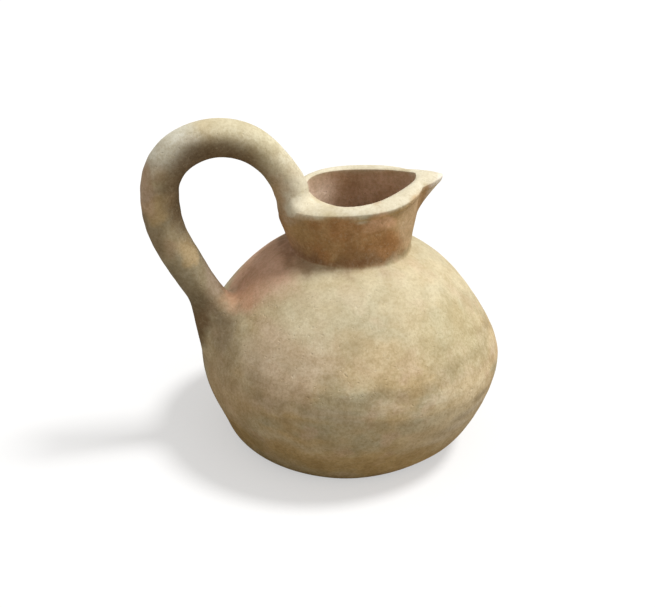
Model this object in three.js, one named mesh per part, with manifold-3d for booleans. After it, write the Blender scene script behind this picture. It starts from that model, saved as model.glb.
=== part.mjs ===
// Hand-made earthenware jug: round body, neck with a pinched spout, and a loop handle.
// Millimetres, +Z up. The origin is the middle of the base on the ground, the spout
// points along +X and the handle stands on the -X side, so XZ is the plane of symmetry.
import * as THREE from 'three';
import { mergeVertices } from 'three/addons/utils/BufferGeometryUtils.js';
import Module from 'manifold-3d';

const wasm = await Module();
wasm.setup();

// Clearance left between two pieces of clay that are joined in the fired jug
const SEAM = 0.3;

// Body, thrown in one piece
const FOOT_RADIUS = 58;
const FOOT_EDGE_WIDTH = 6.7;
const FOOT_EDGE_HEIGHT = 11.2;
const FOOT_WALL_ANGLE = 59.6;
const FOOT_WALL_PULL = 10;
const BELLY_RADIUS = 84.8;
const BELLY_HEIGHT = 50.9;
const BELLY_PULL_DOWN = 14.9;
const BELLY_PULL_UP = 17.2;
const SHOULDER_HEIGHT = 112.7;
const SHOULDER_ANGLE = 16;
const SHOULDER_PULL = 24.5;
const BODY_WALL = 6.5;
const FLOOR_THICKNESS = 7;

// Neck, its turned rim and the mouth
const NECK_RADIUS = 33.8;
const NECK_WALL = 6.8;
const NECK_SET_BACK = 2.2;
const RIM_HEIGHT = 146.2;
const RIM_TILT = 7.3;
const RIM_FLARE = 1.7;
const RIM_OVERHANG = 1.2;
const RIM_CROWN = 2.6;
const RIM_DROP = 3.2;
const RIM_SIDE_WIDTH = 9.5;
const RIM_BACK_WIDTH = 12.6;
const RIM_FRONT_WIDTH = 2.6;
const MOUTH_POINT = 0.38;
const THROAT_FALLS = [0.12, 0.3, 0.55, 0.8, 1];

// Pinched spout at the front, and the neck's swelling under the handle at the back
const BEAK_REACH = 13.6;
const BEAK_HALF_ANGLE = 23;
const BEAK_FOLD = 0.6;
const BEAK_FOLD_SHARE = 0.3;
const BEAK_TROUGH = 0.8;
const BEAK_TIP_ROUNDING = 1.3;
const BEAK_SIDE_PINCH = 1.25;
const HEEL_REACH = 7.5;
const HEEL_HALF_ANGLE = 38;
const HEEL_OVERLEAN = 1.3;

// Handle, one rolled coil bent to a loop
const HANDLE_RADIUS = 9.5;
const HANDLE_SWELL = 0.4;
const SWELL_PLACE = 0.45;
const SWELL_LENGTH = 0.18;
const HANDLE_WAIST = 0.4;
const WAIST_PLACE = 0.16;
const WAIST_LENGTH = 0.1;
const HANDLE_RISE = 29.7;
const HANDLE_APEX_OUT = 41;
const HANDLE_STANDOFF = 19.4;
const HANDLE_BEND_RISE = 1.8;
const UPPER_LEAN = 67;
const UPPER_PULL = 17;
const APEX_PULL_IN = 18;
const APEX_PULL_OUT = 9;
const BEND_PULL_UP = 18.5;
const BEND_PULL_DOWN = 22.5;
const LOWER_ROOT_HEIGHT = 78;
const LOWER_LEAN = 57;
const LOWER_PULL = 27;
const ROOT_DEPTH = 6;

// Clay pressed into the joints: each fillet runs out to an edge of this thickness
const LUTING_EDGE = 1.1;
const NECK_COIL_HEIGHT = 4.5;
const NECK_COIL_WIDTH = 5;
const UPPER_PAD_RISE = 9;
const UPPER_PAD_OUT = 3.2;
const UPPER_PAD_FALL_SHARE = 0.31;
const UPPER_PAD_IN = 8;
const UPPER_PAD_WIDTH = 18;
const MOUTH_MARGIN = 1;
const LOWER_PAD_RISE = 9;
const LOWER_TAIL_RISE = 14;
const LOWER_TAIL_FULLNESS = 0.6;
const LOWER_PAD_UP = 15;
const LOWER_PAD_DOWN = 27;
const LOWER_PAD_WIDTH = 18;

// Facets: steps round the jug, along an outline and round the handle. The steps of the
// neck gather at the narrow beak
const TURN_STEPS = 60;
const BEAK_GATHER = 0.5;
const EDGE_STEPS = 4;
const NECK_WALL_STEPS = 8;
const COIL_FACE_STEPS = 6;
const FLARE_STEPS = 5;
const OUTLINE_STEPS = 9;
const HANDLE_STEPS = 42;
const HANDLE_SIDES = 16;

const NECK_BASE = SHOULDER_HEIGHT + SEAM;
const THROAT_RADIUS = NECK_RADIUS - NECK_WALL;
const RIM_RADIUS = NECK_RADIUS + RIM_FLARE;
const ringAngles = Array.from({ length: HANDLE_SIDES }, (_, j) => (2 * Math.PI * j) / HANDLE_SIDES);
const radians = THREE.MathUtils.degToRad;
const smooth = (t) => THREE.MathUtils.smoothstep(t, 0, 1);
const bump = (x) => Math.exp(-x * x);

// A point at a distance and an angle in degrees from another point
function step(from, distance, angle) {
  const turn = radians(angle);
  return new THREE.Vector2(
    from.x + distance * Math.cos(turn),
    from.y + distance * Math.sin(turn),
  );
}

// Outline of the body's outside from the edge of the base up to the neck, as points
// (radius, height): a rounded foot edge, the lower wall, then the shoulder
function bodyOutline() {
  const base = new THREE.Vector2(FOOT_RADIUS, 0);
  const corner = new THREE.Vector2(FOOT_RADIUS + FOOT_EDGE_WIDTH, 0);
  const slant = FOOT_EDGE_HEIGHT / Math.sin(radians(FOOT_WALL_ANGLE));
  const foot = step(corner, slant, FOOT_WALL_ANGLE);
  const belly = new THREE.Vector2(BELLY_RADIUS, BELLY_HEIGHT);
  const neck = new THREE.Vector2(NECK_RADIUS, SHOULDER_HEIGHT);
  const edge = new THREE.QuadraticBezierCurve(base, corner, foot);
  const wall = new THREE.CubicBezierCurve(
    foot,
    step(foot, FOOT_WALL_PULL, FOOT_WALL_ANGLE),
    step(belly, BELLY_PULL_DOWN, -90),
    belly,
  );
  const shoulder = new THREE.CubicBezierCurve(
    belly,
    step(belly, BELLY_PULL_UP, 90),
    step(neck, SHOULDER_PULL, -SHOULDER_ANGLE),
    neck,
  );
  return [
    ...edge.getPoints(EDGE_STEPS),
    ...wall.getPoints(OUTLINE_STEPS).slice(1),
    ...shoulder.getPoints(OUTLINE_STEPS + 2).slice(1),
  ];
}

// The same outline moved sideways along its normals, outwards where the distance is
// positive
function offsetOutline(points, distance) {
  return points.map((point, i) => {
    const before = points[Math.max(i - 1, 0)];
    const after = points[Math.min(i + 1, points.length - 1)];
    const along = new THREE.Vector2().subVectors(after, before).normalize();
    return new THREE.Vector2(point.x + along.y * distance, point.y - along.x * distance);
  });
}

// Radius of the body's outside at a height on the wall or the shoulder
function bodyRadiusAt(height) {
  const points = bodyOutline();
  const upper = points.findIndex((point) => point.y >= height);
  const low = points[upper - 1];
  const high = points[upper];
  return THREE.MathUtils.mapLinear(height, low.y, high.y, low.x, high.x);
}

// A closed mesh as a solid for cutting and joining
function toSolid(geometry) {
  const shape = geometry.clone();
  shape.deleteAttribute('normal');
  shape.deleteAttribute('uv');
  const merged = mergeVertices(shape, 1e-4);
  const vertProperties = new Float32Array(merged.attributes.position.array);
  const triVerts = new Uint32Array(merged.index.array);
  return new wasm.Manifold(new wasm.Mesh({ numProp: 3, vertProperties, triVerts }));
}

// A cut solid back as a mesh
function toGeometry(solid) {
  const mesh = solid.getMesh();
  const geometry = new THREE.BufferGeometry();
  geometry.setAttribute('position', new THREE.BufferAttribute(mesh.vertProperties, 3));
  geometry.setIndex(new THREE.BufferAttribute(mesh.triVerts, 1));
  geometry.computeVertexNormals();
  return geometry;
}

// A lathe turned about Z, from points (radius, height)
function turned(points) {
  return new THREE.LatheGeometry(points, TURN_STEPS).rotateX(Math.PI / 2);
}

// A closed mesh from rings of points. The rings join one to the next, and either close
// on themselves like a tyre or end in two flat caps
function fromRings(rings, closed) {
  const count = rings[0].length;
  const positions = rings.flat().flatMap((point) => [point.x, point.y, point.z]);
  const faces = [];
  const spans = closed ? rings.length : rings.length - 1;
  for (let i = 0; i < spans; i += 1) {
    const here = i * count;
    const next = ((i + 1) % rings.length) * count;
    for (let j = 0; j < count; j += 1) {
      const k = (j + 1) % count;
      faces.push(here + j, next + j, next + k);
      faces.push(here + j, next + k, here + k);
    }
  }
  if (!closed) {
    const last = (rings.length - 1) * count;
    for (let j = 1; j < count - 1; j += 1) {
      faces.push(0, j, j + 1);
      faces.push(last, last + j + 1, last + j);
    }
  }
  const geometry = new THREE.BufferGeometry();
  geometry.setAttribute('position', new THREE.Float32BufferAttribute(positions, 3));
  geometry.setIndex(faces);
  return geometry;
}

// Body: the outline outside, and the same wall thickness inside it down to the floor
function bodyShell() {
  const outside = bodyOutline();
  const inside = offsetOutline(outside, -BODY_WALL)
    .filter((point) => point.y > FLOOR_THICKNESS + 1 && point.x > THROAT_RADIUS)
    .reverse();
  return turned([
    new THREE.Vector2(0, 0),
    ...outside,
    new THREE.Vector2(THROAT_RADIUS, SHOULDER_HEIGHT),
    ...inside,
    new THREE.Vector2(inside.at(-1).x - 2, FLOOR_THICKNESS),
    new THREE.Vector2(0, FLOOR_THICKNESS),
  ]);
}

// The body without its hollow and grown by the seam, for cutting what sits on it
function bodyKeepOut() {
  const outside = offsetOutline(bodyOutline(), SEAM);
  return toSolid(turned([
    new THREE.Vector2(0, outside[0].y),
    ...outside,
    new THREE.Vector2(0, SHOULDER_HEIGHT),
  ]));
}

// Height of the rim's crest over a place along X: the rim plane rises to the spout
function rimHeightAt(x) {
  return RIM_HEIGHT + Math.tan(radians(RIM_TILT)) * x;
}

// Share of the beak's reach at an angle from the spout: full at the middle, none past
// the half angle
function beakShare(angle) {
  const t = Math.min(Math.abs(angle) / radians(BEAK_HALF_ANGLE), 1);
  return (1 - t ** BEAK_TIP_ROUNDING) ** BEAK_SIDE_PINCH;
}

// Share of the heel's reach at an angle from the spout: full at the back
function heelShare(angle) {
  return bump((Math.PI - Math.abs(angle)) / radians(HEEL_HALF_ANGLE));
}

// Radius of the rim's outer edge at an angle from the spout
function rimRadiusAt(angle) {
  return RIM_RADIUS + BEAK_REACH * beakShare(angle) + HEEL_REACH * heelShare(angle);
}

// Radius of the neck's outer wall at an angle and a share of its height. The beak leans
// out gently up to its fold and steeply above it, and the neck's foot is set back a little
// towards the handle
function neckRadiusAt(angle, rise) {
  const below = BEAK_FOLD_SHARE * Math.min(rise / BEAK_FOLD, 1);
  const above = (1 - BEAK_FOLD_SHARE) * Math.max((rise - BEAK_FOLD) / (1 - BEAK_FOLD), 0);
  return NECK_RADIUS + (RIM_FLARE - RIM_OVERHANG) * rise
    - NECK_SET_BACK * (1 - rise) * Math.cos(angle)
    + BEAK_REACH * beakShare(angle) * (below + above)
    + HEEL_REACH * heelShare(angle) * rise ** HEEL_OVERLEAN;
}

// A point of the egg-shaped mouth, grown outwards by a margin
function mouthPoint(angle, margin) {
  const front = RIM_RADIUS - RIM_FRONT_WIDTH;
  const back = RIM_RADIUS - RIM_BACK_WIDTH;
  const length = (front + back) / 2 + margin;
  const width = RIM_RADIUS - RIM_SIDE_WIDTH + margin;
  return new THREE.Vector2(
    (front - back) / 2 + length * Math.cos(angle),
    width * Math.sin(angle) * (1 - MOUTH_POINT * Math.cos(angle)),
  );
}

// The neck's cross-section at an angle, grown by a distance: up the outer wall, over
// the rounded rim, down the inner wall and back along the base
function neckSection(angle, grow) {
  const outward = new THREE.Vector2(Math.cos(angle), Math.sin(angle));
  const beak = beakShare(angle);
  const rimRadius = rimRadiusAt(angle) + grow;
  const mouth = mouthPoint(angle, -grow);
  const crest = rimHeightAt(rimRadius * outward.x) - RIM_CROWN + grow;
  const section = [];
  const add = (plan, height) => section.push(new THREE.Vector3(plan.x, plan.y, height));
  const base = NECK_BASE - grow;
  const wallTop = crest - RIM_DROP;
  for (let i = 0; i < NECK_WALL_STEPS; i += 1) {
    const rise = i / NECK_WALL_STEPS;
    const radius = neckRadiusAt(angle, rise) + grow;
    add(outward.clone().multiplyScalar(radius), base + (wallTop - base) * rise);
  }
  for (const turn of [-90, -45, 0]) {
    const under = 1 - Math.cos(radians(turn));
    const drop = RIM_DROP * Math.sin(radians(turn));
    const radius = rimRadius - RIM_OVERHANG * under;
    add(outward.clone().multiplyScalar(radius), crest + drop);
  }
  const rimEdge = outward.clone().multiplyScalar(rimRadius);
  for (const turn of [30, 60, 90, 120, 150, 180]) {
    const across = (1 - Math.cos(radians(turn))) / 2;
    const crown = (RIM_CROWN - BEAK_TROUGH * beak) * Math.sin(radians(turn));
    add(rimEdge.clone().lerp(mouth, across), crest + crown);
  }
  const throat = outward.clone().multiplyScalar(THROAT_RADIUS - grow);
  for (const fall of THROAT_FALLS) {
    add(mouth.clone().lerp(throat, smooth(fall)), crest + (base - crest) * fall);
  }
  return section;
}

// The neck: its sections set round the jug, closer together at the narrow beak
function neckGeometry(grow) {
  const rings = [];
  for (let i = 0; i < TURN_STEPS; i += 1) {
    const turn = (2 * Math.PI * i) / TURN_STEPS - Math.PI;
    rings.push(neckSection(turn - BEAK_GATHER * Math.sin(turn), grow));
  }
  return fromRings(rings, true);
}

// A straight plug through the mouth and the throat, which keeps both clear
function mouthPlug() {
  const outline = [];
  for (let i = 0; i < TURN_STEPS; i += 1) {
    outline.push(mouthPoint((2 * Math.PI * i) / TURN_STEPS, MOUTH_MARGIN));
  }
  const depth = HANDLE_RISE + RIM_HEIGHT - NECK_BASE;
  const options = { depth, bevelEnabled: false };
  const plug = new THREE.ExtrudeGeometry(new THREE.Shape(outline), options);
  return toSolid(plug.translate(0, 0, NECK_BASE));
}

// Where the handle's centre line meets the rim and the wall of the body
const upperRoot = (() => {
  const x = -(rimRadiusAt(Math.PI) - mouthPoint(Math.PI, 0).x) / 2;
  return new THREE.Vector3(x, 0, rimHeightAt(x));
})();
const lowerRoot = new THREE.Vector3(-bodyRadiusAt(LOWER_ROOT_HEIGHT), 0, LOWER_ROOT_HEIGHT);

// The handle's centre line: three curved spans from the rim over the top, round the
// outer bend and down to the shoulder, run on a little way into both joints
function handlePath() {
  const lean = (angle) => new THREE.Vector3(-Math.cos(radians(angle)), 0, Math.sin(radians(angle)));
  const along = (from, way, distance) => from.clone().addScaledVector(way, distance);
  const out = new THREE.Vector3(-1, 0, 0);
  const up = new THREE.Vector3(0, 0, 1);
  const apex = new THREE.Vector3(upperRoot.x - HANDLE_APEX_OUT, 0, RIM_HEIGHT + HANDLE_RISE);
  const bend = new THREE.Vector3(
    -(BELLY_RADIUS + HANDLE_STANDOFF),
    0,
    RIM_HEIGHT + HANDLE_BEND_RISE,
  );
  const leave = lean(UPPER_LEAN);
  const arrive = lean(LOWER_LEAN);
  const start = along(upperRoot, leave, -ROOT_DEPTH);
  const end = along(lowerRoot, arrive, -ROOT_DEPTH);
  const path = new THREE.CurvePath();
  path.add(new THREE.LineCurve3(start, upperRoot));
  path.add(new THREE.CubicBezierCurve3(
    upperRoot,
    along(upperRoot, leave, UPPER_PULL),
    along(apex, out, -APEX_PULL_IN),
    apex,
  ));
  path.add(new THREE.CubicBezierCurve3(
    apex,
    along(apex, out, APEX_PULL_OUT),
    along(bend, up, BEND_PULL_UP),
    bend,
  ));
  path.add(new THREE.CubicBezierCurve3(
    bend,
    along(bend, up, -BEND_PULL_DOWN),
    along(lowerRoot, arrive, LOWER_PULL),
    lowerRoot,
  ));
  path.add(new THREE.LineCurve3(lowerRoot, end));
  return path;
}

// Radius of the handle along its length: a waist after the rim, a swell on the bend
function handleRadiusAt(share) {
  const waist = HANDLE_WAIST * bump((share - WAIST_PLACE) / WAIST_LENGTH);
  const swell = HANDLE_SWELL * bump((share - SWELL_PLACE) / SWELL_LENGTH);
  return HANDLE_RADIUS - waist + swell;
}

const path = handlePath();

// A point of the handle at a share of its length and an angle round it, grown by a
// distance. The angle starts on the outer side at the rim, which is the inner side at
// the shoulder
function handlePoint(share, turn, grow) {
  const across = new THREE.Vector3(0, 1, 0);
  const inPlane = path.getTangentAt(share).cross(across);
  const radius = handleRadiusAt(share) + grow;
  return path.getPointAt(share)
    .addScaledVector(inPlane, radius * Math.cos(turn))
    .addScaledVector(across, radius * Math.sin(turn));
}

// The handle as a round bar along its path, grown by a distance
function handleGeometry(grow) {
  const rings = [];
  for (let i = 0; i <= HANDLE_STEPS; i += 1) {
    rings.push(ringAngles.map((turn) => handlePoint(i / HANDLE_STEPS, turn, grow)));
  }
  return fromRings(rings, false);
}

// The coil in the crease: a hollow-faced fillet from the neck down to the shoulder
function neckCoilBlank() {
  const top = new THREE.Vector2(NECK_RADIUS + LUTING_EDGE, NECK_BASE + NECK_COIL_HEIGHT);
  const corner = new THREE.Vector2(NECK_RADIUS + LUTING_EDGE, SHOULDER_HEIGHT + LUTING_EDGE);
  const toe = step(new THREE.Vector2(NECK_RADIUS, SHOULDER_HEIGHT + LUTING_EDGE),
    NECK_COIL_WIDTH, -SHOULDER_ANGLE);
  const face = new THREE.QuadraticBezierCurve(top, corner, toe).getPoints(COIL_FACE_STEPS);
  const inner = new THREE.Vector2(THROAT_RADIUS, toe.y - NECK_COIL_WIDTH);
  return turned([
    inner,
    new THREE.Vector2(toe.x, inner.y),
    ...face.reverse(),
    new THREE.Vector2(THROAT_RADIUS, top.y),
    inner,
  ]);
}

// A flare of clay from the handle out to the surface that it stands on. It curves from a
// ring on the handle, past the corner where the handle's side meets the surface's plane,
// to a foot ring on the surface, and ends in a ring below it. Where it is full, the curve
// is drawn out of the corner to a straight slope
function flareRings(top, foot, below, place, normal, way, fullness) {
  const rings = [];
  for (let i = 0; i <= FLARE_STEPS; i += 1) {
    const t = i / FLARE_STEPS;
    rings.push(top.map((point, j) => {
      const height = point.clone().sub(place).dot(normal);
      const corner = point.clone().addScaledVector(way, height / -way.dot(normal));
      corner.lerp(point.clone().add(foot[j]).multiplyScalar(0.5), fullness[j]);
      const down = point.clone().lerp(corner, t);
      return down.lerp(corner.lerp(foot[j], t), t);
    }));
  }
  rings.push(below);
  return rings;
}

// The flare round the handle's foot on the rim. Its outer side runs down over a share of
// the height of the neck's heel
function upperPadBlank() {
  const length = path.getLength();
  const start = (ROOT_DEPTH + UPPER_PAD_RISE) / length;
  const top = ringAngles.map((turn) => handlePoint(start, turn, LUTING_EDGE));
  const neckHeight = rimHeightAt(upperRoot.x) - NECK_BASE;
  const ring = (margin) => ringAngles.map((turn) => {
    const outer = Math.max(Math.cos(turn), 0);
    const fallen = UPPER_PAD_FALL_SHARE * outer ** 2;
    const rise = 1 - fallen;
    const heel = LUTING_EDGE - neckRadiusAt(Math.PI, rise) - UPPER_PAD_OUT - margin;
    const inner = upperRoot.x - Math.min(Math.cos(turn), 0) * UPPER_PAD_IN;
    const x = THREE.MathUtils.lerp(inner, heel, outer);
    const y = Math.sin(turn) * (UPPER_PAD_WIDTH + margin - LUTING_EDGE);
    return new THREE.Vector3(x, y, rimHeightAt(x) - fallen * neckHeight + margin);
  });
  const normal = new THREE.Vector3(-Math.tan(radians(RIM_TILT)), 0, 1).normalize();
  const way = path.getTangentAt(ROOT_DEPTH / length).negate();
  const foot = ring(LUTING_EDGE);
  const below = ring(-UPPER_PAD_IN / 2);
  const fullness = ringAngles.map(() => 0);
  const rings = flareRings(top, foot, below, upperRoot, normal, way, fullness);
  return fromRings(rings.reverse(), false);
}

// The flare round the handle's lower end, with its tail running down the wall
function lowerPadBlank() {
  const length = path.getLength();
  const tail = ringAngles.map((turn) => (1 - Math.cos(turn)) / 2);
  const top = ringAngles.map((turn, j) => {
    const rise = THREE.MathUtils.lerp(LOWER_PAD_RISE, LOWER_TAIL_RISE, tail[j]);
    return handlePoint(1 - (ROOT_DEPTH + rise) / length, turn, LUTING_EDGE);
  });
  const drop = bodyRadiusAt(LOWER_ROOT_HEIGHT - 1) - bodyRadiusAt(LOWER_ROOT_HEIGHT + 1);
  const upward = new THREE.Vector3(drop, 0, 2).normalize();
  const ring = (margin) => ringAngles.map((turn) => {
    const reach = Math.cos(turn) > 0 ? LOWER_PAD_UP : LOWER_PAD_DOWN;
    const height = LOWER_ROOT_HEIGHT + upward.z * reach * Math.cos(turn);
    const radius = bodyRadiusAt(height) + margin;
    const turned = (LOWER_PAD_WIDTH * Math.sin(turn)) / radius;
    return new THREE.Vector3(-radius * Math.cos(turned), radius * Math.sin(turned), height);
  });
  const normal = new THREE.Vector3(-upward.z, 0, upward.x);
  const way = path.getTangentAt(1 - ROOT_DEPTH / length);
  const foot = ring(LUTING_EDGE);
  const below = ring(-BODY_WALL / 2);
  const fullness = tail.map((share) => LOWER_TAIL_FULLNESS * share);
  const rings = flareRings(top, foot, below, lowerRoot, normal, way, fullness);
  return fromRings(rings, false);
}

const bodyCutter = bodyKeepOut();
const neckCutter = toSolid(neckGeometry(SEAM));
const plug = mouthPlug();
const handleCutter = toSolid(handleGeometry(SEAM));

// Handle, cut where it seats on the rim and on the shoulder
const handleSolid = toSolid(handleGeometry(0))
  .subtract(neckCutter)
  .subtract(bodyCutter)
  .subtract(plug);

// Luting coil of the neck, cut to its seats
const neckCoilSolid = toSolid(neckCoilBlank())
  .subtract(bodyCutter)
  .subtract(neckCutter)
  .subtract(plug);

// Pads round the two ends of the handle, cut to their seats
const upperPadSolid = toSolid(upperPadBlank())
  .subtract(neckCutter)
  .subtract(plug)
  .subtract(handleCutter);
const lowerPadSolid = toSolid(lowerPadBlank())
  .subtract(bodyCutter)
  .subtract(handleCutter);

const group = new THREE.Group();

// Adds a piece of fired clay with its own colour and roughness
function addPiece(name, geometry, color, roughness) {
  const material = new THREE.MeshStandardMaterial({ color, roughness, metalness: 0 });
  const mesh = new THREE.Mesh(geometry, material);
  mesh.name = name;
  group.add(mesh);
}

addPiece('body', bodyShell(), 0xbba67c, 0.9);
addPiece('neck_and_spout', neckGeometry(0), 0xa98257, 0.88);
addPiece('handle', toGeometry(handleSolid), 0xb0a078, 0.9);
addPiece('neck_luting_coil', toGeometry(neckCoilSolid), 0x9d7f5c, 0.92);
addPiece('upper_handle_luting_pad', toGeometry(upperPadSolid), 0xc6b088, 0.92);
addPiece('lower_handle_luting_pad', toGeometry(lowerPadSolid), 0x8f8463, 0.92);

export default group;
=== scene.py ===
"""A hand-made earthenware jug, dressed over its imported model.

Metres, +Z up. The origin is the middle of the base, the spout points along +X and the
handle stands on the -X side. Each piece repeats the form of the node that it replaces,
with a finer surface, and the clay pressed into each joint runs smoothly into the two
pieces that it joins, as it does on a fired jug.
"""
import functools
import logging
import math
from dataclasses import dataclass, field
from enum import Enum

import bpy
import numpy as np
from mathutils import Matrix, Vector


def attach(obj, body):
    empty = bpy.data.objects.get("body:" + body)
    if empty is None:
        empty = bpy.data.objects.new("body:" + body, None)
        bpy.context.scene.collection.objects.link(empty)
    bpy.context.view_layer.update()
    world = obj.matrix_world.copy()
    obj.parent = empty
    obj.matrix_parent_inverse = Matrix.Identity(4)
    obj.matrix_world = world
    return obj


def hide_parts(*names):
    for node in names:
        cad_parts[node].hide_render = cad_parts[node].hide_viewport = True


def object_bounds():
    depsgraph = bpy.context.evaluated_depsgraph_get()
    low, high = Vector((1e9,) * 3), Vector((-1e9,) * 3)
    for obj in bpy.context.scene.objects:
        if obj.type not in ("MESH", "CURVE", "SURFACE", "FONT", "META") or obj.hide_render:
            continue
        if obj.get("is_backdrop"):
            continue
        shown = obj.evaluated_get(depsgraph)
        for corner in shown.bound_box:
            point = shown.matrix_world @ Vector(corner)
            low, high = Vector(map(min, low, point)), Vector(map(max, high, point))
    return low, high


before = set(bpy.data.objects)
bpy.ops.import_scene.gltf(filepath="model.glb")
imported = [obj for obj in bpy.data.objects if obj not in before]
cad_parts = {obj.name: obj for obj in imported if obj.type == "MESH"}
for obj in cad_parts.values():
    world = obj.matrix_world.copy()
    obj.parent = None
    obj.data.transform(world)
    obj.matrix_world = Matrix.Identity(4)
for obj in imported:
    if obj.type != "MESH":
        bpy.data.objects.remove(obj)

Array = np.ndarray
Colour = tuple[float, float, float]
Place = tuple[float, float, float]
# Where a soft step starts and ends, and the values at both ends where they aren't 0 and 1
Span = tuple
Socket = bpy.types.NodeSocket

LOG = logging.getLogger("jug")
BODY_NAME = "root"
WHITE = (1.0, 1.0, 1.0)
# Steps by which a pad's edge runs on past its joint: how far, and how deep it then lies
LEADS = ((0.0016, 0.00010), (0.0040, 0.0006))


class Slot(Enum):
    """The finishes that the record names."""

    BODY = "body_clay"
    NECK = "neck_clay"
    HANDLE = "handle_clay"
    LUTING = "luting_clay"


# Curves and surfaces


def bezier(control: list[Array], shares: Array) -> Array:
    """Points of a Bezier curve: neighbouring control points are mixed until one is left.

    Args:
        control: Control points, each of shape (..., d).
        shares: Shares of the way along the curve, shape (n,).

    Returns:
        The points, shape (n, ..., d).
    """
    first = np.asarray(control[0], float)
    steps = np.asarray(shares, float).reshape((-1,) + (1,) * first.ndim)
    layer = [np.asarray(point, float)[None] for point in control]
    while len(layer) > 1:
        layer = [low + (high - low) * steps for low, high in zip(layer, layer[1:])]
    return layer[0]


def heading(angle: float) -> Array:
    """A unit vector in a plane at an angle in degrees."""
    turn = math.radians(angle)
    return np.array([math.cos(turn), math.sin(turn)])


def smooth(low: float, high: float, value: Array) -> Array:
    """A soft step: 0 below low, 1 above high, and 3t^2 - 2t^3 between them."""
    share = np.clip((value - low) / (high - low), 0.0, 1.0)
    return share * share * (3.0 - 2.0 * share)


def bump(value: Array) -> Array:
    """A bell: the exponential of minus the square."""
    return np.exp(-np.square(value))


def unit(vectors: Array) -> Array:
    """Vectors brought to length one."""
    return vectors / np.linalg.norm(vectors, axis=-1, keepdims=True)


def offset(outline: Array, distance: float) -> Array:
    """An outline moved along its normals, outwards where the distance is positive.

    Args:
        outline: Points (radius, height), shape (n, 2), from the base up.
        distance: How far each point moves.

    Returns:
        The moved outline.
    """
    along = unit(np.gradient(outline, axis=0))
    return outline + distance * np.stack([along[:, 1], -along[:, 0]], axis=-1)


def softened(rows: Array, width: float) -> Array:
    """Closed loops with their corners rounded, by a bell-shaped mean along each loop.

    Args:
        rows: Points, shape (n, ..., d). The first axis runs round the loop.
        width: Standard deviation of the bell, in rows.

    Returns:
        The rounded loops.
    """
    reach = int(3 * width) + 1
    places = np.arange(-reach, reach + 1)
    weights = bump(places / (math.sqrt(2.0) * width))
    weights = weights / weights.sum()
    return sum(weight * np.roll(rows, shift, axis=0) for weight, shift in zip(weights, places))


def resampled(points: Array, count: int) -> Array:
    """A polyline with its points spaced evenly along its length.

    Args:
        points: Points, shape (n, d).
        count: Number of points in the result.

    Returns:
        The new points, shape (count, d).
    """
    steps = np.linalg.norm(np.diff(points, axis=0), axis=1)
    length = np.concatenate([[0.0], np.cumsum(steps)])
    places = np.linspace(0.0, length[-1], count)
    return np.stack([np.interp(places, length, points[:, k]) for k in range(points.shape[1])], -1)


def revolved(profile: Array, turns: Array) -> Array:
    """A profile turned about Z: x = r cos a, y = r sin a, z = height.

    Args:
        profile: Points (radius, height), shape (n, 2).
        turns: Angles round the axis, shape (m,).

    Returns:
        A grid of points, shape (n, m, 3).
    """
    radius = profile[:, :1]
    height = np.repeat(profile[:, 1:], len(turns), axis=1)
    return np.stack([radius * np.cos(turns), radius * np.sin(turns), height], axis=-1)


def full_turn(count: int) -> Array:
    """Evenly spaced angles round a circle, without the last one, which is the first."""
    return np.linspace(-math.pi, math.pi, count, endpoint=False)


@dataclass(frozen=True)
class Press:
    """A soft press of the potter's hand all round the pot: a lean and a swell at a height."""

    height: float
    spread: float
    lean: float
    swell: float


@dataclass(frozen=True)
class Wave:
    """A slow wave through space: a shift along one axis by a sine of the place."""

    axis: int
    share: float
    pitch: Place
    phase: float = 0.0


@dataclass(frozen=True)
class Ripple:
    """A wave on a surface: a sine of an angle round it and of a place along it."""

    turns: float
    pitch: float
    phase: float = 0.0
    share: float = 1.0

    def at(self, turn: Array, along: Array) -> Array:
        """The wave's height at angles and places."""
        return self.share * np.sin(self.turns * turn + self.pitch * along + self.phase)


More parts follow.
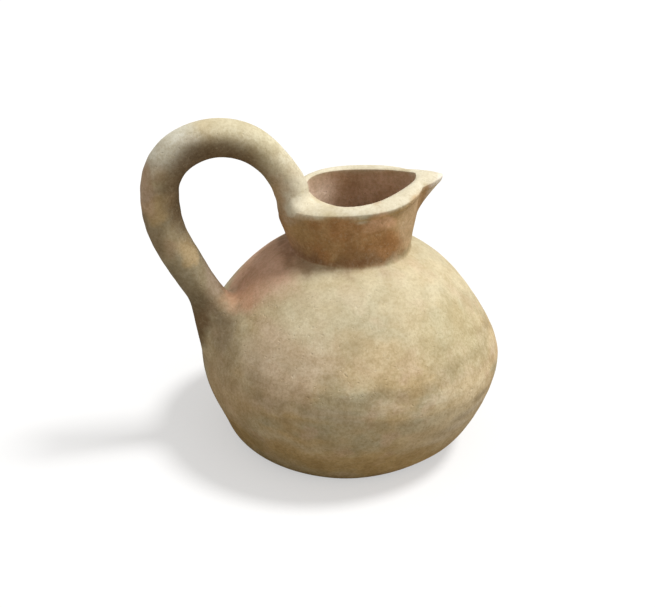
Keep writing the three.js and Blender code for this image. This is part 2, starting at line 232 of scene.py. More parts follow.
@dataclass
class HandMarks:
    """The small unevenness that hands leave: one smooth shift of every point in space.

    Every piece takes the same shift, so the joints between the pieces stay closed.
    """

    presses: tuple[Press, ...] = (
        Press(0.0, 0.010, -0.0013, 0.0),
        Press(0.020, 0.012, 0.0003, -0.0002),
        Press(0.050, 0.018, 0.0012, -0.0006),
        Press(0.090, 0.020, 0.0002, -0.0005),
    )
    swell_reach: Span = (0.030, 0.060)
    axis_core: float = 0.004
    foot_lift: float = 0.0014
    foot_lift_height: float = 0.007
    foot_lift_skew: float = 0.4
    foot_lift_reach: Span = (0.0, 0.05)
    foot_lift_edge: Span = (0.052, 0.062)
    rim_lift: float = 0.0012
    rim_lift_place: Place = (-0.012, 0.032, 0.146)
    rim_lift_spread: float = 0.024
    still_height: float = 0.012
    sway: float = 0.00028
    waves: tuple[Wave, ...] = (
        Wave(0, 1.0, (0.0, 61.0, 43.0), 0.7),
        Wave(0, 0.5, (-74.0, 0.0, 127.0)),
        Wave(1, 1.0, (57.0, 0.0, -38.0), 2.1),
        Wave(1, 0.5, (0.0, 82.0, 113.0), 1.0),
        Wave(2, 1.0, (49.0, 66.0, 0.0), 0.4),
        Wave(2, 0.4, (131.0, -97.0, 0.0)),
    )
    wheel_marks: float = 0.00006
    wheel_pitch: float = 0.0078
    wheel_drifts: tuple[Ripple, ...] = (Ripple(1.0, 0.0, 0.6, 1.4), Ripple(0.0, 23.0, 0.0, 0.9))
    wheel_depth: float = 0.6
    wheel_fade: Ripple = Ripple(1.0, 31.0, 0.0, 0.4)
    dents: float = 0.00022
    dent_ripples: tuple[Ripple, ...] = (Ripple(3.0, 52.0), Ripple(2.0, -35.0, 1.1))
    marks_from_base: Span = (0.006, 0.020)
    marks_from_axis: Span = (0.012, 0.030)

    def moved(self, points: Array) -> Array:
        """Shifts points: leans and swells, lifts of rim and foot, slow waves and wheel marks.

        Args:
            points: Points, shape (..., 3).

        Returns:
            The shifted points. The flat base keeps its height.
        """
        x, y, z = points[..., 0], points[..., 1], points[..., 2]
        radius = np.hypot(x, y)
        shift = np.zeros_like(points)
        for wave in self.waves:
            sine = np.sin(points @ np.array(wave.pitch) + wave.phase)
            shift[..., wave.axis] += self.sway * wave.share * sine
        gap = np.linalg.norm(points - np.array(self.rim_lift_place), axis=-1)
        shift[..., 2] += self.rim_lift * bump(gap / self.rim_lift_spread)
        shift = shift * smooth(0.0, self.still_height, z)[..., None]

        marks = self.marks_at(np.arctan2(y, x), z) * smooth(*self.marks_from_axis, radius)
        for press in self.presses:
            share = bump((z - press.height) / press.spread)
            shift[..., 0] += press.lean * share
            marks = marks + press.swell * share * smooth(*self.swell_reach, radius)
        spout_side = smooth(*self.foot_lift_reach, x - self.foot_lift_skew * y)
        low = bump(z / self.foot_lift_height - 0.5) * smooth(*self.foot_lift_edge, radius)
        shift[..., 2] += self.foot_lift * spout_side * low
        away = np.stack([x, y], axis=-1) / np.maximum(radius, self.axis_core)[..., None]
        shift[..., :2] += marks[..., None] * away
        return points + shift

    def marks_at(self, turn: Array, height: Array) -> Array:
        """How far the wheel's rings and the soft dents stand out from the wall.

        Args:
            turn: Angles round the jug.
            height: Heights.

        Returns:
            Distances, which fade out towards the base.
        """
        drift = sum(ripple.at(turn, height) for ripple in self.wheel_drifts)
        rings = np.sin(2.0 * math.pi / self.wheel_pitch * height + drift)
        rings = rings * (self.wheel_depth + self.wheel_fade.at(turn, height))
        first, second = (ripple.at(turn, height) for ripple in self.dent_ripples)
        marks = self.wheel_marks * rings + self.dents * first * second
        return marks * smooth(*self.marks_from_base, height)


MARKS = HandMarks()


def signed_volume(points: Array, faces: Array) -> float:
    """Volume inside a closed mesh of triangles, below zero where its faces look inwards."""
    first, second, third = (points[faces[:, k]] for k in range(3))
    return float(np.einsum("ij,ij->i", first, np.cross(second, third)).sum() / 6.0)


def closed_piece(name: str, grid: Array, inside: Array, ring: bool) -> bpy.types.Object:
    """A closed, smooth piece from a grid whose columns run round it.

    The rows either close on themselves like a tyre, or run from one pole to the other,
    where the first and the last row are a single point each.

    Args:
        name: Name of the piece.
        grid: Points, shape (rows, columns, 3).
        inside: Share of the inner wall at each row or point, 0 outside and 1 inside.
        ring: True where the rows close on themselves.

    Returns:
        The new object, linked to the scene.
    """
    rows, columns = grid.shape[:2]
    inside = np.broadcast_to(inside.reshape(rows, -1), (rows, columns))
    here = np.arange(columns)
    beside = np.roll(here, -1)
    if ring:
        points = grid.reshape(-1, 3)
        weights = inside.reshape(-1)
        low = np.arange(rows)[:, None] * columns
        high = np.roll(low, -1, axis=0)
        fans = np.zeros((0, 3), int)
    else:
        points = np.vstack([grid[:1, 0], grid[1:-1].reshape(-1, 3), grid[-1:, 0]])
        weights = np.concatenate([inside[0, :1], inside[1:-1].reshape(-1), inside[-1, :1]])
        low = np.arange(rows - 3)[:, None] * columns + 1
        high = low + columns
        top = (rows - 3) * columns + 1
        start = np.stack([np.zeros_like(here), beside + 1, here + 1], axis=-1)
        end = np.stack([np.full_like(here, len(points) - 1), here + top, beside + top], axis=-1)
        fans = np.vstack([start, end])
    quads = np.stack([low + here, low + beside, high + beside, high + here], axis=-1).reshape(-1, 4)
    triangles = np.vstack([quads[:, [0, 1, 2]], quads[:, [0, 2, 3]], fans])
    if signed_volume(points, triangles) < 0.0:
        quads = quads[:, ::-1]
        fans = fans[:, ::-1]
    mesh = bpy.data.meshes.new(name)
    mesh.from_pydata(MARKS.moved(points).tolist(), [], quads.tolist() + fans.tolist())
    mesh.polygons.foreach_set("use_smooth", np.ones(len(mesh.polygons), bool))
    mesh.update()
    normals = np.zeros(len(points) * 3)
    mesh.vertex_normals.foreach_get("vector", normals)
    for label, values in (("inside", weights), ("up", normals[2::3])):
        layer = mesh.attributes.new(label, "FLOAT", "POINT")
        layer.data.foreach_set("value", values.astype(np.float32))
    piece = bpy.data.objects.new(name, mesh)
    bpy.context.scene.collection.objects.link(piece)
    return piece


def fillet(
    start: Array,
    leave: Array,
    end: Array,
    arrive: Array,
    pulls: tuple,
    shares: Array,
) -> Array:
    """Smooth strips from one surface to another: a cubic Bezier curve for each pair of points.

    Each curve leaves its start along one surface and reaches its end along the other, so
    the strip has the slope of each surface where it meets it.

    Args:
        start: Points on the first surface, shape (m, 3).
        leave: Unit tangents there, towards the joint.
        end: Points on the second surface.
        arrive: Unit tangents there, away from the joint.
        pulls: How far the two tangents pull, as shares of the distance: numbers or (m, 1).
        shares: Shares of the way along the strip.

    Returns:
        The strip, shape (len(shares), m, 3).
    """
    reach = np.linalg.norm(end - start, axis=-1, keepdims=True)
    control = [start, start + leave * reach * pulls[0], end - arrive * reach * pulls[1], end]
    return bezier(control, shares)


def laid_flat(chord: Array, normal: Array) -> Array:
    """Unit vectors along a surface, the nearest ones to some chords, by the surface's normals."""
    return unit(chord - np.sum(chord * normal, axis=-1, keepdims=True) * normal)


# The pieces


@dataclass
class Body:
    """The thrown round pot, with its wall, its floor and the opening under the neck."""

    foot_radius: float = 0.058
    foot_edge_width: float = 0.0067
    foot_edge_height: float = 0.0112
    foot_wall_angle: float = 59.6
    foot_wall_pull: float = 0.010
    belly_radius: float = 0.0848
    belly_height: float = 0.0509
    belly_pull_down: float = 0.0149
    belly_pull_up: float = 0.0172
    neck_radius: float = 0.0338
    throat_radius: float = 0.027
    shoulder_height: float = 0.1127
    shoulder_angle: float = 16.0
    shoulder_pull: float = 0.0245
    wall: float = 0.0065
    floor: float = 0.007
    inner_corner: float = 0.001
    inner_softness: float = 1.8
    slope_reach: float = 0.001
    columns: int = 288
    curve_points: int = 80
    outline_rows: int = 150
    base_rows: int = 13
    top_rows: int = 3
    inner_rows: int = 110
    lip_rows: int = 3
    profile: Array = field(init=False)

    def __post_init__(self) -> None:
        """Works out the outline once."""
        self.profile = self.outline()

    def outline(self) -> Array:
        """The outside from the edge of the base to the neck: an edge and two long curves.

        Returns:
            Points (radius, height), evenly spaced.
        """
        corner = np.array([self.foot_radius + self.foot_edge_width, 0.0])
        slant = heading(self.foot_wall_angle)
        foot = corner + slant * self.foot_edge_height / slant[1]
        belly = np.array([self.belly_radius, self.belly_height])
        neck = np.array([self.neck_radius, self.shoulder_height])
        shares = np.linspace(0.0, 1.0, self.curve_points)
        edge = bezier([np.array([self.foot_radius, 0.0]), corner, foot], shares)
        wall_pull = foot + slant * self.foot_wall_pull
        low = bezier([foot, wall_pull, belly - [0.0, self.belly_pull_down], belly], shares)
        shoulder_pull = neck + heading(-self.shoulder_angle) * self.shoulder_pull
        high = bezier([belly, belly + [0.0, self.belly_pull_up], shoulder_pull, neck], shares)
        return resampled(np.vstack([edge, low[1:], high[1:]]), self.outline_rows)

    def radius_at(self, height: Array) -> Array:
        """Radius of the outside at each height."""
        return np.interp(height, self.profile[:, 1], self.profile[:, 0])

    def slope_at(self, height: float) -> float:
        """Growth of the radius with height, at a height."""
        above, below = height + self.slope_reach, height - self.slope_reach
        return float(self.radius_at(above) - self.radius_at(below)) / (above - below)

    def inner_profile(self) -> Array:
        """The inside from the opening down to the middle of the floor, with a round corner.

        Returns:
            Points (radius, height), evenly spaced: the outline moved inwards by the wall.
        """
        inner = offset(self.profile, -self.wall)
        keep = (inner[:, 1] > self.floor) & (inner[:, 0] > self.throat_radius)
        inner = inner[keep][::-1]
        corner = np.array([inner[-1, 0] - self.inner_corner, self.floor])
        middle = np.array([0.0, self.floor])
        lip = np.array([self.throat_radius, self.shoulder_height])
        path = resampled(np.vstack([lip, inner, corner, middle]), self.inner_rows)
        mirrored = np.vstack([path, (path * [-1.0, 1.0])[::-1][1:]])
        rounded = softened(mirrored, self.inner_softness)[: len(path)]
        rounded[: self.lip_rows] = path[: self.lip_rows]
        rounded[-1, 0] = 0.0
        return rounded

    def build(self) -> bpy.types.Object:
        """The body as one closed shell, from the middle of the base to the middle of the floor.

        Returns:
            The new piece.
        """
        reach = np.linspace(0.0, self.foot_radius, self.base_rows, endpoint=False)
        base = np.stack([reach, np.zeros_like(reach)], axis=-1)
        across = np.linspace(self.neck_radius, self.throat_radius, self.top_rows + 2)[1:-1]
        top = np.stack([across, np.full_like(across, self.shoulder_height)], axis=-1)
        inner = self.inner_profile()
        profile = np.vstack([base, self.profile, top, inner])
        inside = np.concatenate([np.zeros(len(profile) - len(inner)), np.ones(len(inner))])
        grid = revolved(profile, full_turn(self.columns))
        return closed_piece("thrown_body", grid, inside, ring=False)


@dataclass
class Neck:
    """The thrown collar: its wall, the tilted rim with its crown, the mouth and the beak."""

    body: Body
    wall_radius: float = 0.0338
    set_back: float = 0.0022
    base_height: float = 0.1126
    rim_height: float = 0.1462
    rim_tilt: float = 7.3
    rim_flare: float = 0.0017
    rim_overhang: float = 0.0012
    flush_half_angle: float = 62.0
    flush_rounding: float = 0.0016
    rim_crown: float = 0.0030
    crest_place: float = 0.7
    rim_roundness: float = 0.75
    inner_drop: float = 0.25
    rim_drop: float = 0.0032
    rim_side_width: float = 0.0103
    rim_back_width: float = 0.0106
    rim_front_width: float = 0.0026
    mouth_point: float = 0.38
    mouth_square: float = 0.4
    mouth_cut: float = 0.006
    mouth_cut_turn: float = -155.0
    mouth_cut_half_angle: float = 35.0
    beak_reach: float = 0.0136
    beak_half_angle: float = 23.0
    beak_fold: float = 0.6
    beak_fold_share: float = 0.18
    beak_trough: float = 0.0008
    beak_rounding: float = 1.3
    beak_pinch: float = 1.25
    heel_reach: float = 0.0080
    heel_tuck: float = 0.0014
    heel_foot_tuck: float = 0.0020
    heel_half_angle: float = 38.0
    heel_overlean: float = 1.05
    heel_tuck_rise: Span = (0.75, 1.0)
    gather: float = 0.5
    inside_levels: Span = (2.9, 3.12)
    turn_step: float = 0.02
    level_step: float = 0.03
    columns: int = 320
    wall_rows: int = 60
    edge_rows: int = 8
    crown_rows: int = 30
    inner_rows: int = 64
    softness: float = 1.1
    turns: Array = field(init=False)
    levels: Array = field(init=False)
    grid: Array = field(init=False)

    def __post_init__(self) -> None:
        """Works out the whole surface once: its columns gather at the narrow beak."""
        even = full_turn(self.columns)
        self.turns = even - self.gather * np.sin(even)
        self.levels = np.concatenate([
            np.linspace(0.0, 1.0, self.wall_rows, endpoint=False),
            np.linspace(1.0, 2.0, self.edge_rows, endpoint=False),
            np.linspace(2.0, 3.0, self.crown_rows, endpoint=False),
            np.linspace(3.0, 4.0, self.inner_rows),
        ])
        self.grid = self.section_grid(self.turns)

    @property
    def rim_radius(self) -> float:
        """Radius of the rim without the beak and the heel."""
        return self.wall_radius + self.rim_flare

    def rim_height_at(self, x: Array) -> Array:
        """Height of the rim's crest, which rises towards the spout."""
        return self.rim_height + math.tan(math.radians(self.rim_tilt)) * x

    def beak_share(self, turn: Array) -> Array:
        """Share of the beak's reach: full at the front, none past its half angle."""
        share = np.minimum(np.abs(turn) / math.radians(self.beak_half_angle), 1.0)
        return (1.0 - share**self.beak_rounding) ** self.beak_pinch

    def heel_share(self, turn: Array) -> Array:
        """Share of the heel's reach: full at the back."""
        return bump((math.pi - np.abs(turn)) / math.radians(self.heel_half_angle))

    def flush_share(self, turn: Array) -> Array:
        """How flush the rim is with the wall: full at the back, where the pad covers both."""
        return bump((math.pi - np.abs(turn)) / math.radians(self.flush_half_angle))

    def overhang_at(self, turn: Array) -> Array:
        """How far the rim stands out over the wall."""
        return self.rim_overhang * (1.0 - self.flush_share(turn))

    def rim_radius_at(self, turn: Array) -> Array:
        """Radius of the rim's outer edge."""
        beak = self.beak_reach * self.beak_share(turn)
        return self.rim_radius + beak + (self.heel_reach - self.heel_tuck) * self.heel_share(turn)

    def wall_radius_at(self, turn: Array, rise: Array) -> Array:
        """Radius of the outer wall at a share of its height.

        The beak leans out gently up to its fold and steeply above it, and the foot of
        the wall is set back a little towards the handle.

        Args:
            turn: Angles round the jug.
            rise: Shares of the wall's height.

        Returns:
            The radii.
        """
        below = self.beak_fold_share * np.minimum(rise / self.beak_fold, 1.0)
        above = np.maximum((rise - self.beak_fold) / (1.0 - self.beak_fold), 0.0)
        lean = below + (1.0 - self.beak_fold_share) * above
        tuck = self.heel_tuck * smooth(*self.heel_tuck_rise, rise) + self.heel_foot_tuck * (1.0 - rise)
        return (
            self.wall_radius
            + (self.rim_flare - self.overhang_at(turn)) * rise
            - self.set_back * (1.0 - rise) * np.cos(turn)
            + self.beak_reach * self.beak_share(turn) * lean
            + self.heel_share(turn) * (self.heel_reach * rise**self.heel_overlean - tuck)
        )

    def mouth_at(self, turn: Array) -> Array:
        """Plan of the egg-shaped mouth: narrow towards the spout, and pressed in by the pad.

        The egg is an ellipse whose width shrinks with the cosine of the angle, and its far
        side is squarer at the back, by the square of the sine.

        Args:
            turn: Angles round the jug.

        Returns:
            Points (x, y).
        """
        front = self.rim_radius - self.rim_front_width
        back = self.rim_radius - self.rim_back_width
        width = self.rim_radius - self.rim_side_width
        square = np.where(turn > 0.0, self.mouth_square, 0.0) * np.maximum(-np.cos(turn), 0.0)
        along = np.cos(turn) * (1.0 + square * np.square(np.sin(turn)))
        x = (front - back) / 2.0 + (front + back) / 2.0 * along
        y = width * np.sin(turn) * (1.0 - self.mouth_point * np.cos(turn))
        gap = np.mod(np.degrees(turn) - self.mouth_cut_turn + 180.0, 360.0) - 180.0
        kept = 1.0 - self.mouth_cut * bump(gap / self.mouth_cut_half_angle) / np.hypot(x, y)
        return np.stack([x * kept, y * kept], axis=-1)

    def section_grid(self, turns: Array) -> Array:
        """The collar's sections: up the wall, over the rim and down inside to the throat.

        Args:
            turns: Angles of the sections.

        Returns:
            Points, shape (levels, turns, 3), with their corners rounded.
        """
        outward = np.stack([np.cos(turns), np.sin(turns)], axis=-1)
        edge_radius = self.rim_radius_at(turns)
        crest = self.rim_height_at(edge_radius * outward[:, 0]) - self.rim_crown
        wall_top = crest - self.rim_drop
        rise = self.levels[: self.wall_rows, None]
        wall_radius = self.wall_radius_at(turns[None], rise)
        wall_height = self.base_height + (wall_top - self.base_height) * rise
        wall = self.placed(outward * wall_radius[..., None], wall_height)

        turn = np.linspace(-np.pi / 2.0, 0.0, self.edge_rows, endpoint=False)[:, None]
        rounded = self.flush_rounding * self.flush_share(turns)
        under_radius = edge_radius - self.overhang_at(turns) * (1.0 - np.cos(turn))
        under_radius = under_radius - rounded * (1.0 + np.sin(turn))
        under = self.placed(outward * under_radius[..., None], crest + self.rim_drop * np.sin(turn))

        sweep = np.pi * np.linspace(0.0, 1.0, self.crown_rows, endpoint=False)[:, None, None]
        across = (1.0 - np.cos(sweep)) / 2.0
        rim_edge = outward * (edge_radius - rounded)[:, None]
        mouth = self.mouth_at(turns)
        plan = rim_edge + (mouth - rim_edge) * across
        height = self.rim_crown - self.beak_trough * self.beak_share(turns)
        share = across[..., 0]
        past = np.maximum(share - self.crest_place, 0.0) / (1.0 - self.crest_place)
        arch = np.sin(np.pi / 2.0 * np.minimum(share / self.crest_place, 1.0))
        lifted = arch**self.rim_roundness - self.inner_drop * past**2
        crown = self.placed(plan, crest + height * lifted)

        fall = np.linspace(0.0, 1.0, self.inner_rows)[:, None]
        throat = outward * self.body.throat_radius
        plan = mouth + (throat - mouth) * smooth(0.0, 1.0, fall)[..., None]
        lip = crest + height * (1.0 - self.inner_drop)
        inner = self.placed(plan, lip + (self.base_height - lip) * fall)
        return softened(np.concatenate([wall, under, crown, inner]), self.softness)

    def placed(self, plan: Array, height: Array) -> Array:
        """Points from their plan and their heights."""
        height = np.broadcast_to(height, plan.shape[:-1])
        return np.concatenate([plan, height[..., None]], axis=-1)

    def at(self, turn: Array, level: Array) -> Array:
        """Points of the finished surface, between the points of its grid.

        Args:
            turn: Angles, in any order, shape (m,).
            level: Levels: 0 to 1 wall, to 2 edge, to 3 crown, to 4 inner wall.

        Returns:
            Points, shape (m, 3).
        """
        wrapped = np.mod(turn + math.pi, 2.0 * math.pi) - math.pi
        start = self.turns[0]
        place = np.mod(wrapped - start, 2.0 * math.pi)
        known = np.append(self.turns, self.turns[0] + 2.0 * math.pi) - start
        column = np.interp(place, known, np.arange(len(known)))
        row = np.interp(level, self.levels, np.arange(len(self.levels)))
        left = np.floor(column).astype(int)
        low = np.minimum(np.floor(row).astype(int), len(self.levels) - 2)
        s = (column - left)[:, None]
        t = (row - low)[:, None]
        left, right = left % self.columns, (left + 1) % self.columns
        lower = self.grid[low, left] * (1 - s) + self.grid[low, right] * s
        upper = self.grid[low + 1, left] * (1 - s) + self.grid[low + 1, right] * s
        return lower * (1 - t) + upper * t

    def normal_at(self, turn: Array, level: Array) -> Array:
        """Outward normals of the finished surface, as unit vectors."""
        across = self.at(turn + self.turn_step, level) - self.at(turn - self.turn_step, level)
        upwards = self.at(turn, level + self.level_step) - self.at(turn, level - self.level_step)
        return unit(np.cross(across, upwards))

    def build(self) -> bpy.types.Object:
        """The neck as a closed ring, from the wall round the rim and the throat to its base.

        Returns:
            The new piece.
        """
        inside = smooth(*self.inside_levels, self.levels)
        return closed_piece("neck_with_spout", self.grid, inside, ring=True)


@dataclass
class Handle:
    """One rolled coil of clay, bent to a loop from the rim down to the shoulder."""

    body: Body
    neck: Neck
    radius: float = 0.0095
    swell: float = 0.0004
    swell_place: float = 0.45
    swell_length: float = 0.18
    waist: float = 0.0008
    waist_place: float = 0.13
    waist_length: float = 0.1
    rise: float = 0.0294
    root_out: float = 0.0345
    apex_out: float = 0.039
    standoff: float = 0.0194
    bend_rise: float = 0.0018
    upper_lean: float = 75.0
    upper_pull: float = 0.018
    apex_pull_in: float = 0.019
    apex_pull_out: float = 0.012
    bend_pull_up: float = 0.0192
    bend_pull_down: float = 0.0225
    lower_root_height: float = 0.078
    lower_lean: float = 57.0
    lower_pull: float = 0.027
    root_depth: float = 0.006
    squeeze: float = 0.00022
    finger_marks: tuple[Ripple, ...] = (
        Ripple(2.0, 9.0),
        Ripple(0.0, 26.0, 0.8),
        Ripple(1.0, -31.0, 0.0, 0.6),
    )
    hidden_taper: float = 0.0022
    hidden_rise: float = 0.0050
    cap_shares: tuple[float, ...] = (0.0, 0.5, 0.85)
    curve_points: int = 200
    line_points: int = 1200
    rows: int = 300
    columns: int = 96
    line: Array = field(init=False)
    length: float = field(init=False)

    def __post_init__(self) -> None:
        """Works out the centre line once."""
        self.line = resampled(self.centre_line(), self.line_points)
        self.length = float(np.linalg.norm(np.diff(self.line, axis=0), axis=1).sum())

    @property
    def upper_root(self) -> Array:
        """Where the centre line leaves the rim: the middle of its crown at the back."""
        return np.array([-self.root_out, float(self.neck.rim_height_at(-self.root_out))])

    @property
    def lower_root(self) -> Array:
        """Where the centre line reaches the wall of the body."""
        height = self.lower_root_height
        return np.array([-float(self.body.radius_at(height)), height])

    def centre_line(self) -> Array:
        """The centre line in the XZ plane: three cubic curves, run on into both joints.

        Returns:
            Points (x, z).
        """
        upper, lower = self.upper_root, self.lower_root
        leave = heading(180.0 - self.upper_lean)
        arrive = heading(180.0 - self.lower_lean)
        apex = np.array([upper[0] - self.apex_out, self.neck.rim_height + self.rise])
        bend = np.array([
            -(self.body.belly_radius + self.standoff),
            self.neck.rim_height + self.bend_rise,
        ])
        shares = np.linspace(0.0, 1.0, self.curve_points)
        spans = [
            [upper, upper + leave * self.upper_pull, apex + [self.apex_pull_in, 0.0], apex],
            [apex, apex - [self.apex_pull_out, 0.0], bend + [0.0, self.bend_pull_up], bend],
            [bend, bend - [0.0, self.bend_pull_down], lower + arrive * self.lower_pull, lower],
        ]
        curves = [bezier(span, shares)[1:] for span in spans]
        start = upper - leave * self.root_depth
        end = lower - arrive * self.root_depth
        return np.vstack([start, upper, *curves, end])

    def frame_at(self, share: Array) -> tuple[Array, Array, Array]:
        """Place, tangent and outward direction of the centre line at shares of its length.

        Args:
            share: Shares of the length, shape (m,).

        Returns:
            Three arrays of shape (m, 3).
        """
        tangent = unit(self.along(unit(np.gradient(self.line, axis=0)), share))
        outward = np.cross(tangent, np.array([0.0, 1.0, 0.0]))
        return self.along(self.line, share), tangent, outward

    def along(self, values: Array, share: Array) -> Array:
        """Values (x, z) of the centre line's points, read at shares of its length as (x, 0, z)."""
        places = np.linspace(0.0, 1.0, len(values))
        x, z = (np.interp(share, places, values[:, k]) for k in range(2))
        return np.stack([x, np.zeros_like(x), z], axis=-1)

    def radius_at(self, share: Array, turn: Array) -> Array:
        """Radius: a waist after the rim, a swell on the bend, and the marks of fingers.

        Args:
            share: Shares of the length.
            turn: Angles round the handle.

        Returns:
            The radii.
        """
        waist = self.waist * bump((share - self.waist_place) / self.waist_length)
        swell = self.swell * bump((share - self.swell_place) / self.swell_length)
        first, second, third = (ripple.at(turn, share) for ripple in self.finger_marks)
        return self.radius - waist + swell + self.squeeze * (first * second + third)

    def at(self, share: Array, turn: Array) -> Array:
        """Points of the surface: the centre line's, moved outwards by the radius.

        Args:
            share: Shares of the length.
            turn: Angles round the handle, from its outer side at the rim, which is the
                inner side at the shoulder.

        Returns:
            The points.
        """
        centre, _, outward = self.frame_at(share)
        across = np.array([0.0, 1.0, 0.0])
        radius = self.radius_at(share, turn)[..., None]
        return centre + radius * (outward * np.cos(turn)[..., None] + across * np.sin(turn)[..., None])

    def build(self) -> bpy.types.Object:
        """The handle as a round bar with rounded ends inside the two joints.

        Returns:
            The new piece.
        """
        share = np.linspace(0.0, 1.0, self.rows)
        turns = full_turn(self.columns)
        grid = np.stack([self.at(np.full(self.columns, s), turns) for s in share])
        centre = self.frame_at(share)[0]
        ends = np.minimum(share, 1.0 - share) * self.length
        hidden = smooth(self.root_depth + self.hidden_rise, 0.0, ends) * self.hidden_taper / self.radius
        grid = grid + (centre[:, None] - grid) * hidden[:, None, None]
        parts = np.array(self.cap_shares)[:, None, None]
        first = centre[0] + (grid[0] - centre[0]) * parts
        last = centre[-1] + (grid[-1] - centre[-1]) * parts[::-1]
        grid = np.concatenate([first, grid, last])
        return closed_piece("coil_handle", grid, np.zeros(len(grid)), ring=False)


